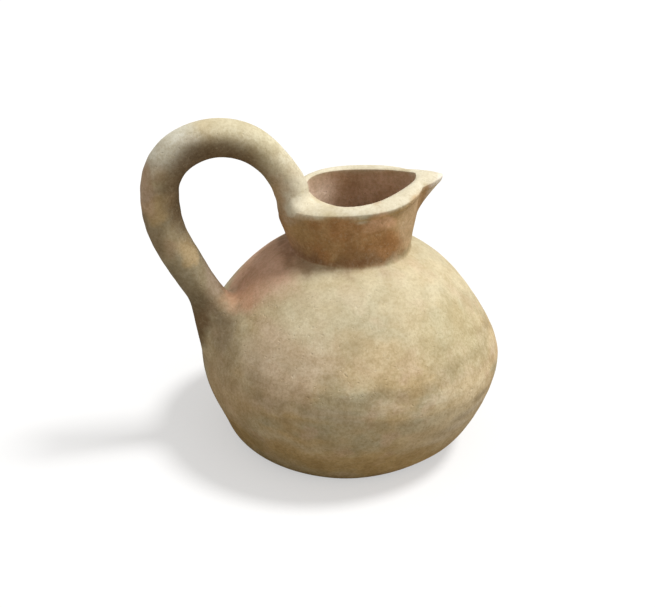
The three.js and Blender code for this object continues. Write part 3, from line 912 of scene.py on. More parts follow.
@dataclass
class Luting:
    """The clay pressed into the three joints, each a fillet that runs out on both sides."""

    body: Body
    neck: Neck
    handle: Handle
    coil_height: float = 0.0045
    coil_width: float = 0.0052
    coil_pull: float = 0.62
    coil_feel: float = 0.8
    upper_rise: float = 0.0075
    upper_side_rise: float = 0.0055
    upper_inner_rise: float = 0.0040
    upper_level: float = 2.3
    upper_fall: float = 1.85
    upper_fall_power: float = 1.3
    upper_inner: float = 0.62
    upper_inner_power: float = 0.9
    upper_side_power: float = 0.6
    upper_width: float = 0.0175
    upper_pull: tuple[float, float] = (0.45, 0.55)
    upper_swell: float = 0.0006
    upper_swell_side: Span = (-0.1, 0.4)
    upper_softness: float = 6.0
    lower_rise: float = 0.010
    tail_rise: float = 0.020
    lower_up: float = 0.0155
    lower_down: float = 0.041
    lower_width: float = 0.020
    lower_pull: tuple[float, float] = (0.5, 0.5)
    tail_pull: tuple[float, float] = (0.17, 0.58)
    lower_feel: float = 0.97
    handle_feel: float = 0.002
    feel: float = 0.001
    depth: float = 0.002
    rim_cover: float = 0.006
    core_place: float = 0.3
    core_size: float = 0.5
    columns: int = 144
    coil_rows: int = 22
    upper_rows: int = 34
    lower_rows: int = 44

    def closed_strip(
        self,
        name: str,
        before: list[Array],
        strip: Array,
        after: list[Array],
    ) -> bpy.types.Object:
        """A strip with its edges led on under both surfaces, and closed to a ring.

        Args:
            name: Name of the piece.
            before: Rows ever deeper under the first surface, from the strip on.
            strip: The seen face, shape (rows, columns, 3).
            after: Rows ever deeper under the second surface, from the strip on.

        Returns:
            The new piece.
        """
        grid = np.concatenate([np.stack(before[::-1]), strip, np.stack(after)])
        return closed_piece(name, grid, np.zeros(len(grid)), ring=True)

    def neck_coil(self) -> bpy.types.Object:
        """The coil in the crease between the neck's wall and the shoulder.

        Each section is a hollow curve: it leaves the wall downwards and reaches the
        shoulder along its slope.

        Returns:
            The new piece.
        """
        turns = full_turn(self.columns * 2)
        outward = np.stack([np.cos(turns), np.sin(turns), np.zeros_like(turns)], axis=-1)
        down = np.array([0.0, 0.0, -1.0])
        span = self.neck.rim_height - self.neck.base_height
        level = np.full_like(turns, self.coil_height / span)
        start = self.neck.at(turns, level)
        leave = unit(self.neck.at(turns, level * self.coil_feel) - start)
        toe = np.linalg.norm(start[:, :2], axis=-1) + self.coil_width
        end = self.shoulder_at(turns, toe)
        arrive = unit(self.shoulder_at(turns, toe + self.feel) - end)
        shares = np.linspace(0.0, 1.0, self.coil_rows)
        strip = fillet(start, leave, end, arrive, (self.coil_pull, self.coil_pull), shares)
        before = [self.neck.at(turns, level + far / span) - outward * sink for far, sink in LEADS]
        before.append(start - outward * self.depth)
        after = [self.shoulder_at(turns, toe + far) + down * sink for far, sink in LEADS]
        after.append(end + (down - outward) * self.depth)
        after.append(self.neck.at(turns, np.zeros_like(turns)) + (down - outward) * self.depth)
        return self.closed_strip("neck_coil", before, strip, after)

    def shoulder_at(self, turns: Array, radius: Array) -> Array:
        """Points of the shoulder.

        Args:
            turns: Angles round the jug.
            radius: Distances from its axis.

        Returns:
            The points, shape (m, 3).
        """
        upper = self.body.profile[:, 1] > self.body.belly_height
        outer = self.body.profile[upper][::-1]
        height = np.interp(radius, outer[:, 0], outer[:, 1])
        return np.stack([radius * np.cos(turns), radius * np.sin(turns), height], axis=-1)

    def upper_foot(self, turn: Array, spread: float) -> tuple[Array, Array]:
        """The loop on the neck where the upper pad runs out.

        Args:
            turn: Angles round the handle, from its outer side.
            spread: Size of the loop, 1 for the pad's edge.

        Returns:
            The loop's angles round the neck and its levels on the neck's surface.
        """
        outer = np.maximum(np.cos(turn), 0.0) ** self.upper_fall_power
        inner = np.maximum(-np.cos(turn), 0.0) ** self.upper_inner_power
        level = self.upper_level + spread * (self.upper_inner * inner - self.upper_fall * outer)
        width = self.upper_width / -self.handle.upper_root[0]
        power = self.upper_side_power * np.maximum(np.cos(turn), 0.0)
        side = np.sin(turn) * np.abs(np.sin(turn)) ** power
        return math.pi - spread * width * side, level

    def upper_pad(self) -> bpy.types.Object:
        """The pad round the handle's foot on the rim, down over the heel of the neck.

        Returns:
            The new piece.
        """
        turns = full_turn(self.columns)
        outer, inner = (np.maximum(way * np.cos(turns), 0.0) ** 2 for way in (1.0, -1.0))
        rise = self.upper_side_rise * (1.0 - outer - inner)
        rise = rise + self.upper_rise * outer + self.upper_inner_rise * inner
        share = (self.handle.root_depth + rise) / self.handle.length
        start = self.handle.at(share, turns)
        foot = self.upper_foot(turns, 1.0)
        end = self.neck.at(*foot)
        leave = laid_flat(end - start, unit(start - self.handle.frame_at(share)[0]))
        normal = unit(softened(self.neck.normal_at(*foot), self.upper_softness))
        arrive = laid_flat(end - start, normal)
        shares = np.linspace(0.0, 1.0, self.upper_rows)
        strip = fillet(start, leave, end, arrive, self.upper_pull, shares)
        middle = np.sin(np.pi * shares)[:, None, None]
        wiped = softened(strip.swapaxes(0, 1), self.upper_softness).swapaxes(0, 1)
        strip = strip + (wiped - strip) * middle
        outer_side = smooth(*self.upper_swell_side, np.cos(turns))[:, None]
        strip = strip + self.upper_swell * unit(strip * [1.0, 1.0, 0.0]) * outer_side * middle
        before = self.led_under_handle(share, turns, 1.0)
        after = []
        for far, sink in LEADS:
            rim = self.neck.at(*self.upper_foot(turns, 1.0 + far / self.upper_width))
            after.append(rim + unit(self.wall_core(rim) - rim) * sink)
        after.append(end + unit(self.wall_core(end) - end) * self.depth)
        after.append(self.handle_core(self.core_share, turns))
        return self.closed_strip("upper_handle_pad", before, strip, after)

    @property
    def core_share(self) -> float:
        """Share of the handle's length at which a pad's back lies inside the handle's end."""
        return self.core_place * self.handle.root_depth / self.handle.length

    def led_under_handle(self, share: Array, turns: Array, way: float) -> list[Array]:
        """Rows that lead a pad's edge on along the handle and down under its surface.

        Args:
            share: Shares of the handle's length at which the pad's face ends.
            turns: Angles round the handle.
            way: 1 where the rows lead towards its lower end, and -1 the other way.

        Returns:
            The rows, each deeper than the last.
        """
        length = self.handle.length
        rows = [self.sunk_handle(share + way * far / length, turns, sink) for far, sink in LEADS]
        return rows + [self.sunk_handle(share, turns, self.depth)]

    def sunk_handle(self, share: Array, turn: Array, sink: float) -> Array:
        """Points a little way under the handle's surface."""
        point = self.handle.at(share, turn)
        return point + unit(self.handle.frame_at(share)[0] - point) * sink

    def handle_core(self, share: float, turn: Array) -> Array:
        """A ring near the axis of the handle, which keeps a pad's back clear of its face."""
        place = np.full_like(turn, share)
        centre = self.handle.frame_at(place)[0]
        return centre + (self.handle.at(place, turn) - centre) * self.core_size

    def wall_core(self, points: Array) -> Array:
        """Points inside the neck's wall, halfway from the rim's edge to the mouth.

        Args:
            points: Points on the neck, shape (m, 3).

        Returns:
            Points beside them to sink towards, level with them or under the rim.
        """
        turn = np.arctan2(points[:, 1], points[:, 0])
        mouth = np.linalg.norm(self.neck.mouth_at(turn), axis=-1)
        middle = (self.neck.rim_radius_at(turn) + mouth) / 2.0
        under_rim = self.neck.rim_height_at(points[:, 0]) - self.rim_cover
        height = np.minimum(points[:, 2], under_rim)
        return np.stack([np.cos(turn) * middle, np.sin(turn) * middle, height], axis=-1)

    def lower_foot(self, turn: Array, spread: float) -> Array:
        """The loop on the body where the lower pad and its tail run out.

        Args:
            turn: Angles round the handle, from its upper side.
            spread: Size of the loop, 1 for the pad's edge.

        Returns:
            Points of the loop.
        """
        root = self.handle.lower_root_height
        up = 1.0 / math.hypot(self.body.slope_at(root), 1.0)
        reach = np.where(np.cos(turn) > 0.0, self.lower_up, self.lower_down)
        height = root + up * spread * reach * np.cos(turn)
        radius = self.body.radius_at(height)
        angle = spread * self.lower_width * np.sin(turn) / radius
        return np.stack([-radius * np.cos(angle), radius * np.sin(angle), height], axis=-1)

    def lower_pad(self) -> bpy.types.Object:
        """The pad round the handle's lower end, with its tail drawn down the wall.

        Returns:
            The new piece.
        """
        turns = full_turn(self.columns)
        tail = (1.0 - np.cos(turns)) / 2.0
        rise = self.lower_rise + (self.tail_rise - self.lower_rise) * tail
        share = 1.0 - (self.handle.root_depth + rise) / self.handle.length
        start = self.handle.at(share, turns)
        leave = unit(self.handle.at(share + self.handle_feel, turns) - start)
        end = self.lower_foot(turns, 1.0)
        arrive = unit(end - self.lower_foot(turns, self.lower_feel))
        inward = unit(np.array([0.0, 0.0, self.body.belly_height]) - end)
        shares = np.linspace(0.0, 1.0, self.lower_rows)
        pulls = tuple(
            (side + (down - side) * tail)[:, None]
            for side, down in zip(self.lower_pull, self.tail_pull)
        )
        strip = fillet(start, leave, end, arrive, pulls, shares)
        before = self.led_under_handle(share, turns, -1.0)
        after = [
            self.lower_foot(turns, 1.0 + far / self.lower_width) + inward * sink
            for far, sink in LEADS
        ]
        after.append(end + inward * self.depth)
        after.append(self.handle_core(1.0 - self.core_share, turns))
        return self.closed_strip("lower_handle_pad", before, strip, after)


# The finishes


@dataclass(frozen=True)
class Pattern:
    """A noise on the clay: its grain and stretch, and the range that it is softly carried to."""

    scale: float
    detail: float
    roughness: float
    low: float
    high: float
    to: Span = (0.0, 1.0)
    stretch: Place = (1.0, 1.0, 1.0)
    shift: Place = (0.0, 0.0, 0.0)


@dataclass(frozen=True)
class Grit:
    """A noise that lifts the clay or shifts its stains: its grain, and its reach in metres."""

    scale: float
    detail: float
    roughness: float
    reach: float
    stretch: Place = (1.0, 1.0, 1.0)


@dataclass(frozen=True)
class Patch:
    """A stain in the clay: its colour, place, half-widths, strength and the share that is even."""

    name: str
    colour: Colour
    centre: Place
    radius: Place
    strength: float
    core: float = 0.45


@dataclass(frozen=True)
class Ring:
    """A band that a wiping hand left round the pot, a little higher or lower along X."""

    name: str
    colour: Colour
    height: float
    climb: float
    half_width: float
    strength: float


class Nodes:
    """A short way to write a tree of shader nodes."""

    def __init__(self, tree: bpy.types.NodeTree) -> None:
        """Keeps the tree."""
        self.tree = tree

    def add(self, kind: str, inputs: dict | None = None, **settings: object) -> bpy.types.Node:
        """Adds a node, sets its properties and fills its inputs.

        Args:
            kind: Type of the node.
            inputs: Values or output sockets, by the input's name or place.
            settings: Properties of the node.

        Returns:
            The node.
        """
        node = self.tree.nodes.new(kind)
        for name, value in settings.items():
            setattr(node, name, value)
        for key, value in (inputs or {}).items():
            self.fill(node.inputs[key], value)
        return node

    def fill(self, socket: Socket, value: object) -> None:
        """Links an output to an input, or sets the input to a value.

        Args:
            socket: The input.
            value: An output socket, a number, a vector or a colour without its alpha.
        """
        if isinstance(value, bpy.types.NodeSocket):
            self.tree.links.new(value, socket)
        elif socket.type == "RGBA":
            socket.default_value = (*value, 1.0)
        else:
            socket.default_value = value

    def maths(self, operation: str, *values: object) -> Socket:
        """The result of an operation on numbers."""
        return self.add("ShaderNodeMath", dict(enumerate(values)), operation=operation).outputs[0]

    def product(self, *values: object) -> Socket:
        """All values multiplied with each other."""
        return functools.reduce(functools.partial(self.maths, "MULTIPLY"), values)

    def vector(self, operation: str, *values: object) -> Socket:
        """The result of an operation on vectors: a number for a length, or else a vector."""
        node = self.add("ShaderNodeVectorMath", dict(enumerate(values)), operation=operation)
        return node.outputs["Value" if operation == "LENGTH" else "Vector"]

    def ramp(self, value: object, low: float, high: float, to: Span = (0.0, 1.0)) -> Socket:
        """A value carried softly from one range to another, by 3t^2 - 2t^3.

        Args:
            value: The value.
            low: Where the range starts.
            high: Where it ends, which may be lower.
            to: The values at both ends.

        Returns:
            The new value.
        """
        inputs = {"Value": value, "From Min": low, "From Max": high, "To Min": to[0], "To Max": to[1]}
        return self.add("ShaderNodeMapRange", inputs, interpolation_type="SMOOTHSTEP").outputs[0]

    def mix(self, share: object, first: object, second: object, way: str = "MIX") -> Socket:
        """Two colours mixed by a share.

        Args:
            share: Share of the second colour.
            first: The colour below.
            second: The colour above.
            way: How the second colour is laid over the first.

        Returns:
            The mixed colour.
        """
        inputs = {0: share, 6: first, 7: second}
        settings = {"data_type": "RGBA", "blend_type": way, "clamp_result": True}
        return self.add("ShaderNodeMix", inputs, **settings).outputs[2]

    def stretched(self, place: object, scale: Place, shift: Place) -> Socket:
        """Coordinates scaled along each axis, and shifted."""
        inputs = {"Vector": place, "Location": shift, "Scale": scale}
        return self.add("ShaderNodeMapping", inputs).outputs[0]

    def noise(self, place: object, look: Pattern | Grit, shift: Place = (0.0, 0.0, 0.0)) -> Socket:
        """Soft noise, from 0 to 1.

        Args:
            place: Coordinates.
            look: Its grain and stretch.
            shift: Where in the noise the coordinates start.

        Returns:
            The noise.
        """
        inputs = {
            "Vector": self.stretched(place, look.stretch, shift),
            "Scale": look.scale,
            "Detail": look.detail,
            "Roughness": look.roughness,
        }
        return self.add("ShaderNodeTexNoise", inputs, noise_dimensions="3D").outputs["Fac"]

    def pattern(self, place: object, look: Pattern) -> Socket:
        """A noise, softly carried to its range."""
        return self.ramp(self.noise(place, look, look.shift), look.low, look.high, look.to)

    def grit(self, place: object, look: Grit) -> Socket:
        """A noise times its reach."""
        return self.maths("MULTIPLY", self.noise(place, look), look.reach)

    def patch(self, place: object, stain: Patch) -> Socket:
        """Share of a stain: 1 inside its core, and 0 outside its three half-widths.

        Args:
            place: Coordinates.
            stain: The stain.

        Returns:
            The share, by the length of the place in half-widths from the centre.
        """
        scale = tuple(1.0 / half for half in stain.radius)
        shift = tuple(-middle / half for middle, half in zip(stain.centre, stain.radius))
        distance = self.vector("LENGTH", self.stretched(place, scale, shift))
        return self.ramp(distance, 1.0, stain.core)


@dataclass(frozen=True)
class Patterns:
    """The noises that break up the clay's colours and its surface."""

    warp: Grit = Grit(55.0, 4.0, 0.5, 0.022)
    cloud: Pattern = Pattern(24.0, 3.0, 0.55, 0.47, 0.66, (0.0, 0.6))
    grey_cloud: Pattern = Pattern(
        30.0, 3.0, 0.5, 0.46, 0.64, (0.0, 0.7), (1.0, 1.0, 1.4), (0.31, 0.17, 0.05),
    )
    pink_cloud: Pattern = Pattern(70.0, 2.0, 0.5, 0.52, 0.68, (0.0, 0.5), shift=(0.11, 0.57, 0.25))
    bands: Pattern = Pattern(1.0, 3.0, 0.55, 0.50, 0.72, (0.0, 0.55), (9.0, 9.0, 95.0))
    neck_cloud: Pattern = Pattern(24.0, 3.0, 0.55, 0.45, 0.65, (0.0, 0.6))
    neck_streaks: Pattern = Pattern(1.0, 3.0, 0.6, 0.48, 0.70, (0.0, 0.22), (150.0, 150.0, 22.0))
    thin_cream: Pattern = Pattern(48.0, 2.0, 0.5, 0.66, 0.42, (0.72, 1.0))
    worn_spots: Pattern = Pattern(
        34.0, 4.0, 0.6, 0.48, 0.64, (0.0, 0.36), (1.0, 1.0, 1.5), (0.83, 0.29, 0.61),
    )
    torn_rings: Pattern = Pattern(1.0, 3.0, 0.6, 0.34, 0.54, stretch=(26.0, 26.0, 70.0))
    hollow_cloud: Pattern = Pattern(24.0, 3.0, 0.55, 0.45, 0.68, (0.0, 0.45))
    flecks: Pattern = Pattern(620.0, 3.0, 0.62, 0.58, 0.74)
    dust: Pattern = Pattern(540.0, 3.0, 0.6, 0.53, 0.70, (0.0, 0.16), shift=(0.7, 0.2, 0.4))
    grain: Pattern = Pattern(620.0, 4.0, 0.72, 0.30, 0.70, (0.86, 1.12))
    mottle: Pattern = Pattern(85.0, 4.0, 0.68, 0.30, 0.70, (0.86, 1.13))
    pits: Pattern = Pattern(430.0, 1.0, 0.4, 0.33, 0.24, (0.0, -0.00012))
    dullness: Pattern = Pattern(130.0, 3.0, 0.6, 0.30, 0.70, (0.80, 0.94))
    sand: Grit = Grit(900.0, 3.0, 0.6, 0.00008)
    lumps: Grit = Grit(300.0, 3.0, 0.6, 0.00012)
    wheel_streaks: Grit = Grit(1.0, 2.0, 0.5, 0.00007, (14.0, 14.0, 620.0))


@dataclass(frozen=True)
class Reaches:
    """Where each colour lies: soft spans of height, distance from the axis and slope.

    A span gives where a share starts and where it is full, and the shares at both ends
    where they aren't 0 and 1. A slope is how far the surface looks up, from -1 to 1. A
    climb is how fast a level line rises along X.
    """

    brown_foot: Span = (0.062, 0.004)
    bands: Span = (0.085, 0.045)
    neck_climb: float = 0.14
    neck_front_climb: float = 0.24
    neck_foot: Span = (0.1085, 0.1165)
    neck_radius: Span = (0.058, 0.050)
    neck_top: Span = (0.0025, 0.0085)
    neck_slope: Span = (0.45, 0.12)
    # Painted shade: the neck darker towards its foot.
    neck_foot_shade: Span = (0.126, 0.112, (0.0, 0.6))
    cream_slope: Span = (0.22, 0.90, (0.0, 0.72))
    worn_slope: Span = (0.50, 0.85, (1.0, 0.25))
    handle_lean: float = 0.75
    handle_level: Span = (0.1365, 0.1485)
    handle_radius: Span = (0.043, 0.050)
    handle_height: Span = (0.150, 0.158)
    shade_slope: Span = (0.70, 0.10)
    # Painted shade on the handle: faint on its sides, deeper on what looks down.
    handle_side_shade: Span = (0.90, 0.20, (0.05, 0.20))
    handle_under_shade: Span = (0.05, -0.55, (0.0, 0.55))
    # Painted shade in the crease round the neck's foot, deeper on the handle's side and faint on the
    # spout's side.
    crease_height: float = 0.1150
    crease_climb: float = 0.05
    crease_width: Span = (0.0060, 0.0005)
    crease_radius: Span = (0.046, 0.040)
    crease_back: Span = (0.018, -0.004, (0.08, 0.65))
    rim_height: float = 0.1478
    rim_climb: float = 0.128
    crown_bottom: Span = (0.0075, 0.0025)
    crown_top: Span = (-0.016, -0.005)
    # Where the pale rim, partly a painted highlight, shows: only where the crown looks up.
    crown_slope: Span = (-0.25, 0.35, (0.0, 0.92))
    # Painted shade, brown, on the body where it looks down.
    down_shade_slope: Span = (-0.10, -0.75, (0.0, 0.6))
    fewer_flecks: Span = (0.0, 0.9, (0.18, 0.07))
    even_crown: float = 0.5
    even_slope: Span = (0.45, 0.85, (0.0, 0.35))
    green_power: float = 1.2
    blue_power: float = 1.6


@dataclass(frozen=True)
class Clay:
    """The colours of the fired clay, with painted light and shade among its stains."""

    buff: Colour = (0.69, 0.565, 0.345)
    cream: Colour = (0.68, 0.60, 0.40)
    # Pale rim, partly the clay's own colour and partly a painted highlight on the lit crown.
    rim: Colour = (0.80, 0.73, 0.55)
    brown: Colour = (0.59, 0.405, 0.17)
    ochre: Colour = (0.60, 0.42, 0.20)
    grey_green: Colour = (0.50, 0.46, 0.31)
    neck: Colour = (0.44, 0.225, 0.085)
    # Dark brown for the neck's streaks, also used as painted shade in the crease at the neck's foot.
    crease: Colour = (0.28, 0.155, 0.075)
    inner: Colour = (0.65, 0.43, 0.28)
    pink: Colour = (0.70, 0.50, 0.34)
    speck: Colour = (0.27, 0.20, 0.12)
    worn: Colour = (0.50, 0.36, 0.17)
    # Brown for the painted shade on the handle's sides and underside.
    handle_shade_brown: Colour = (0.27, 0.20, 0.115)

    stains: tuple[Patch, ...] = (
        # A pink stain on the left shoulder, shaped to the neck's cast shadow there: pink clay and painted
        # shadow.
        Patch("rosy_shoulder_and_shadow", (0.72, 0.44, 0.30), (-0.048, 0.006, 0.102), (0.038, 0.046, 0.030), 0.9),
        Patch("blush", (0.66, 0.39, 0.25), (-0.060, -0.002, 0.095), (0.020, 0.022, 0.016), 0.6),
        Patch("root_blush", (0.64, 0.36, 0.21), (-0.066, -0.010, 0.089), (0.011, 0.011, 0.010), 0.6),
        Patch("pale_low_belly", (0.72, 0.58, 0.36), (0.040, -0.070, 0.040), (0.046, 0.040, 0.028), 0.7),
        Patch("olive_belly", (0.53, 0.45, 0.25), (0.042, -0.058, 0.080), (0.034, 0.036, 0.026), 0.5),
        Patch("ochre_belly", (0.62, 0.45, 0.24), (-0.016, -0.068, 0.080), (0.028, 0.024, 0.014), 0.40),
        Patch("rosy_belly", (0.76, 0.59, 0.41), (-0.052, -0.056, 0.074), (0.036, 0.034, 0.024), 0.65),
        Patch("pale_belly", (0.76, 0.66, 0.44), (-0.032, -0.046, 0.094), (0.026, 0.026, 0.018), 0.5),
        Patch("sandy_left", (0.72, 0.53, 0.31), (-0.076, -0.030, 0.046), (0.026, 0.034, 0.026), 0.5),
        Patch("tan_neck", (0.62, 0.44, 0.25), (0.028, -0.024, 0.134), (0.018, 0.020, 0.020), 0.85),
        Patch("orange_neck", (0.72, 0.43, 0.24), (0.004, -0.034, 0.138), (0.013, 0.016, 0.008), 0.8),
        Patch("tan_heel", (0.58, 0.42, 0.26), (-0.044, -0.010, 0.139), (0.019, 0.022, 0.014), 0.8),
        # Pale like the rim, partly a painted highlight on the lit shelf at the handle's foot.
        Patch("pale_pad_and_highlight", (0.82, 0.76, 0.60), (-0.038, -0.013, 0.1475), (0.012, 0.011, 0.009), 0.8),
        Patch("pale_beak", (0.88, 0.82, 0.70), (0.049, -0.008, 0.142), (0.019, 0.020, 0.019), 0.88),
        # Painted shade in the crease round the handle's lower root, and brown with painted shade beside it.
        Patch("root_shade", (0.20, 0.125, 0.055), (-0.088, -0.006, 0.077), (0.014, 0.018, 0.022), 0.9),
        Patch("root_crease_shade", (0.32, 0.24, 0.15), (-0.077, -0.016, 0.082), (0.013, 0.011, 0.022), 0.75),
        Patch("root_brown_shade", (0.42, 0.32, 0.19), (-0.078, -0.024, 0.070), (0.018, 0.022, 0.020), 0.5),
    )
    handle_stains: tuple[Patch, ...] = (
        Patch("grey_bend", (0.76, 0.74, 0.62), (-0.099, -0.003, 0.175), (0.024, 0.03, 0.019), 0.75),
        Patch("ochre_bend", (0.82, 0.60, 0.30), (-0.106, -0.006, 0.144), (0.010, 0.03, 0.010), 0.8),
        Patch("pink_edge", (0.66, 0.46, 0.33), (-0.113, 0.0, 0.152), (0.010, 0.03, 0.020), 0.6),
        Patch("cream_top", (0.71, 0.64, 0.44), (-0.058, 0.0, 0.180), (0.032, 0.03, 0.016), 0.75),
        # Painted highlight on the top of the handle's right limb.
        Patch("cream_limb_highlight", (0.72, 0.65, 0.44), (-0.045, 0.0, 0.170), (0.020, 0.03, 0.018), 0.75),
        # Painted shade on the outer side of the handle's left limb, which faces away from the lamp.
        Patch("outer_limb_shade", (0.32, 0.245, 0.15), (-0.109, 0.0, 0.126), (0.012, 0.03, 0.022), 0.7),
        Patch("pale_limb", (0.62, 0.53, 0.35), (-0.093, -0.008, 0.110), (0.006, 0.03, 0.016), 0.6),
        Patch("olive_limb", (0.33, 0.275, 0.175), (-0.086, -0.004, 0.100), (0.023, 0.03, 0.026), 0.7),
        Patch("rosy_limb", (0.44, 0.34, 0.24), (-0.080, 0.0, 0.100), (0.009, 0.03, 0.018), 0.65),
        Patch("ochre_limb", (0.68, 0.50, 0.26), (-0.092, -0.010, 0.118), (0.006, 0.03, 0.009), 0.65),
        Patch("cream_edge", (0.78, 0.71, 0.52), (-0.034, 0.0, 0.160), (0.016, 0.03, 0.014), 0.65),
    )
    # Painted shade on the inner side of the handle's loop, where little light reaches.
    painted_loop_shade: Patch = Patch(
        "painted_loop_shade", (0.18, 0.12, 0.06), (-0.078, 0.0, 0.150), (0.034, 0.20, 0.036), 0.90, 0.60,
    )
    streaks: tuple[Patch, ...] = (
        Patch("low_shade", (0.38, 0.29, 0.17), (0.030, -0.076, 0.0345), (0.015, 0.014, 0.0046), 0.4, 0.1),
        Patch("mid_shade", (0.36, 0.28, 0.18), (0.042, -0.071, 0.0405), (0.015, 0.014, 0.0046), 0.5, 0.1),
        Patch("high_shade", (0.36, 0.28, 0.18), (0.055, -0.063, 0.0465), (0.015, 0.014, 0.0046), 0.5, 0.1),
        Patch("low_streak", (0.80, 0.69, 0.52), (0.030, -0.076, 0.0290), (0.016, 0.014, 0.0044), 0.6, 0.2),
        Patch("mid_streak", (0.80, 0.69, 0.52), (0.041, -0.071, 0.0345), (0.016, 0.014, 0.0044), 0.6, 0.2),
        Patch("high_streak", (0.78, 0.68, 0.52), (0.053, -0.064, 0.0405), (0.016, 0.014, 0.0044), 0.5, 0.2),
    )
    # Painted shadow under the far rim, and painted light on the inner wall's left side where the lamp
    # reaches.
    throat_light_and_shade: tuple[Patch, ...] = (
        Patch("throat_rim_shadow", (0.42, 0.25, 0.14), (0.014, 0.030, 0.140), (0.030, 0.020, 0.018), 0.4),
        Patch("throat_wall_light", (0.88, 0.68, 0.51), (-0.020, 0.012, 0.124), (0.028, 0.036, 0.028), 0.9),
    )
    rings: tuple[Ring, ...] = (
        Ring("wiped_dark", (0.38, 0.29, 0.16), 0.0635, 0.13, 0.0068, 0.55),
        Ring("wiped_pale", (0.70, 0.56, 0.40), 0.0560, 0.08, 0.0046, 0.35),
        Ring("second_dark", (0.42, 0.30, 0.15), 0.0485, 0.06, 0.0034, 0.35),
        Ring("low_pale", (0.68, 0.58, 0.39), 0.0310, 0.0, 0.0060, 0.55),
        Ring("foot_dark", (0.42, 0.28, 0.11), 0.0180, -0.02, 0.0090, 0.50),
    )


@dataclass(frozen=True)
class Finish:
    """One slot's finish: the same clay, with its own depth of wheel marks."""

    slot: Slot
    wheel: float
    ior: float = 1.45
    gloss: float = 0.3


FINISHES: tuple[Finish, ...] = (
    Finish(Slot.BODY, 1.0),
    Finish(Slot.NECK, 0.8),
    Finish(Slot.HANDLE, 0.0),
    Finish(Slot.LUTING, 0.0),
)


def new_group(name: str, inputs: dict[str, str], outputs: dict[str, str]) -> tuple:
    """A new shader node group with named sockets.

    Args:
        name: Name of the group.
        inputs: Socket types by name.
        outputs: Socket types by name.

    Returns:
        The group's writer, the sockets of its input node, and its output node.
    """
    group = bpy.data.node_groups.new(name, "ShaderNodeTree")
    for way, sockets in (("INPUT", inputs), ("OUTPUT", outputs)):
        for label, kind in sockets.items():
            group.interface.new_socket(label, in_out=way, socket_type=kind)
    nodes = Nodes(group)
    return nodes, nodes.add("NodeGroupInput").outputs, nodes.add("NodeGroupOutput")


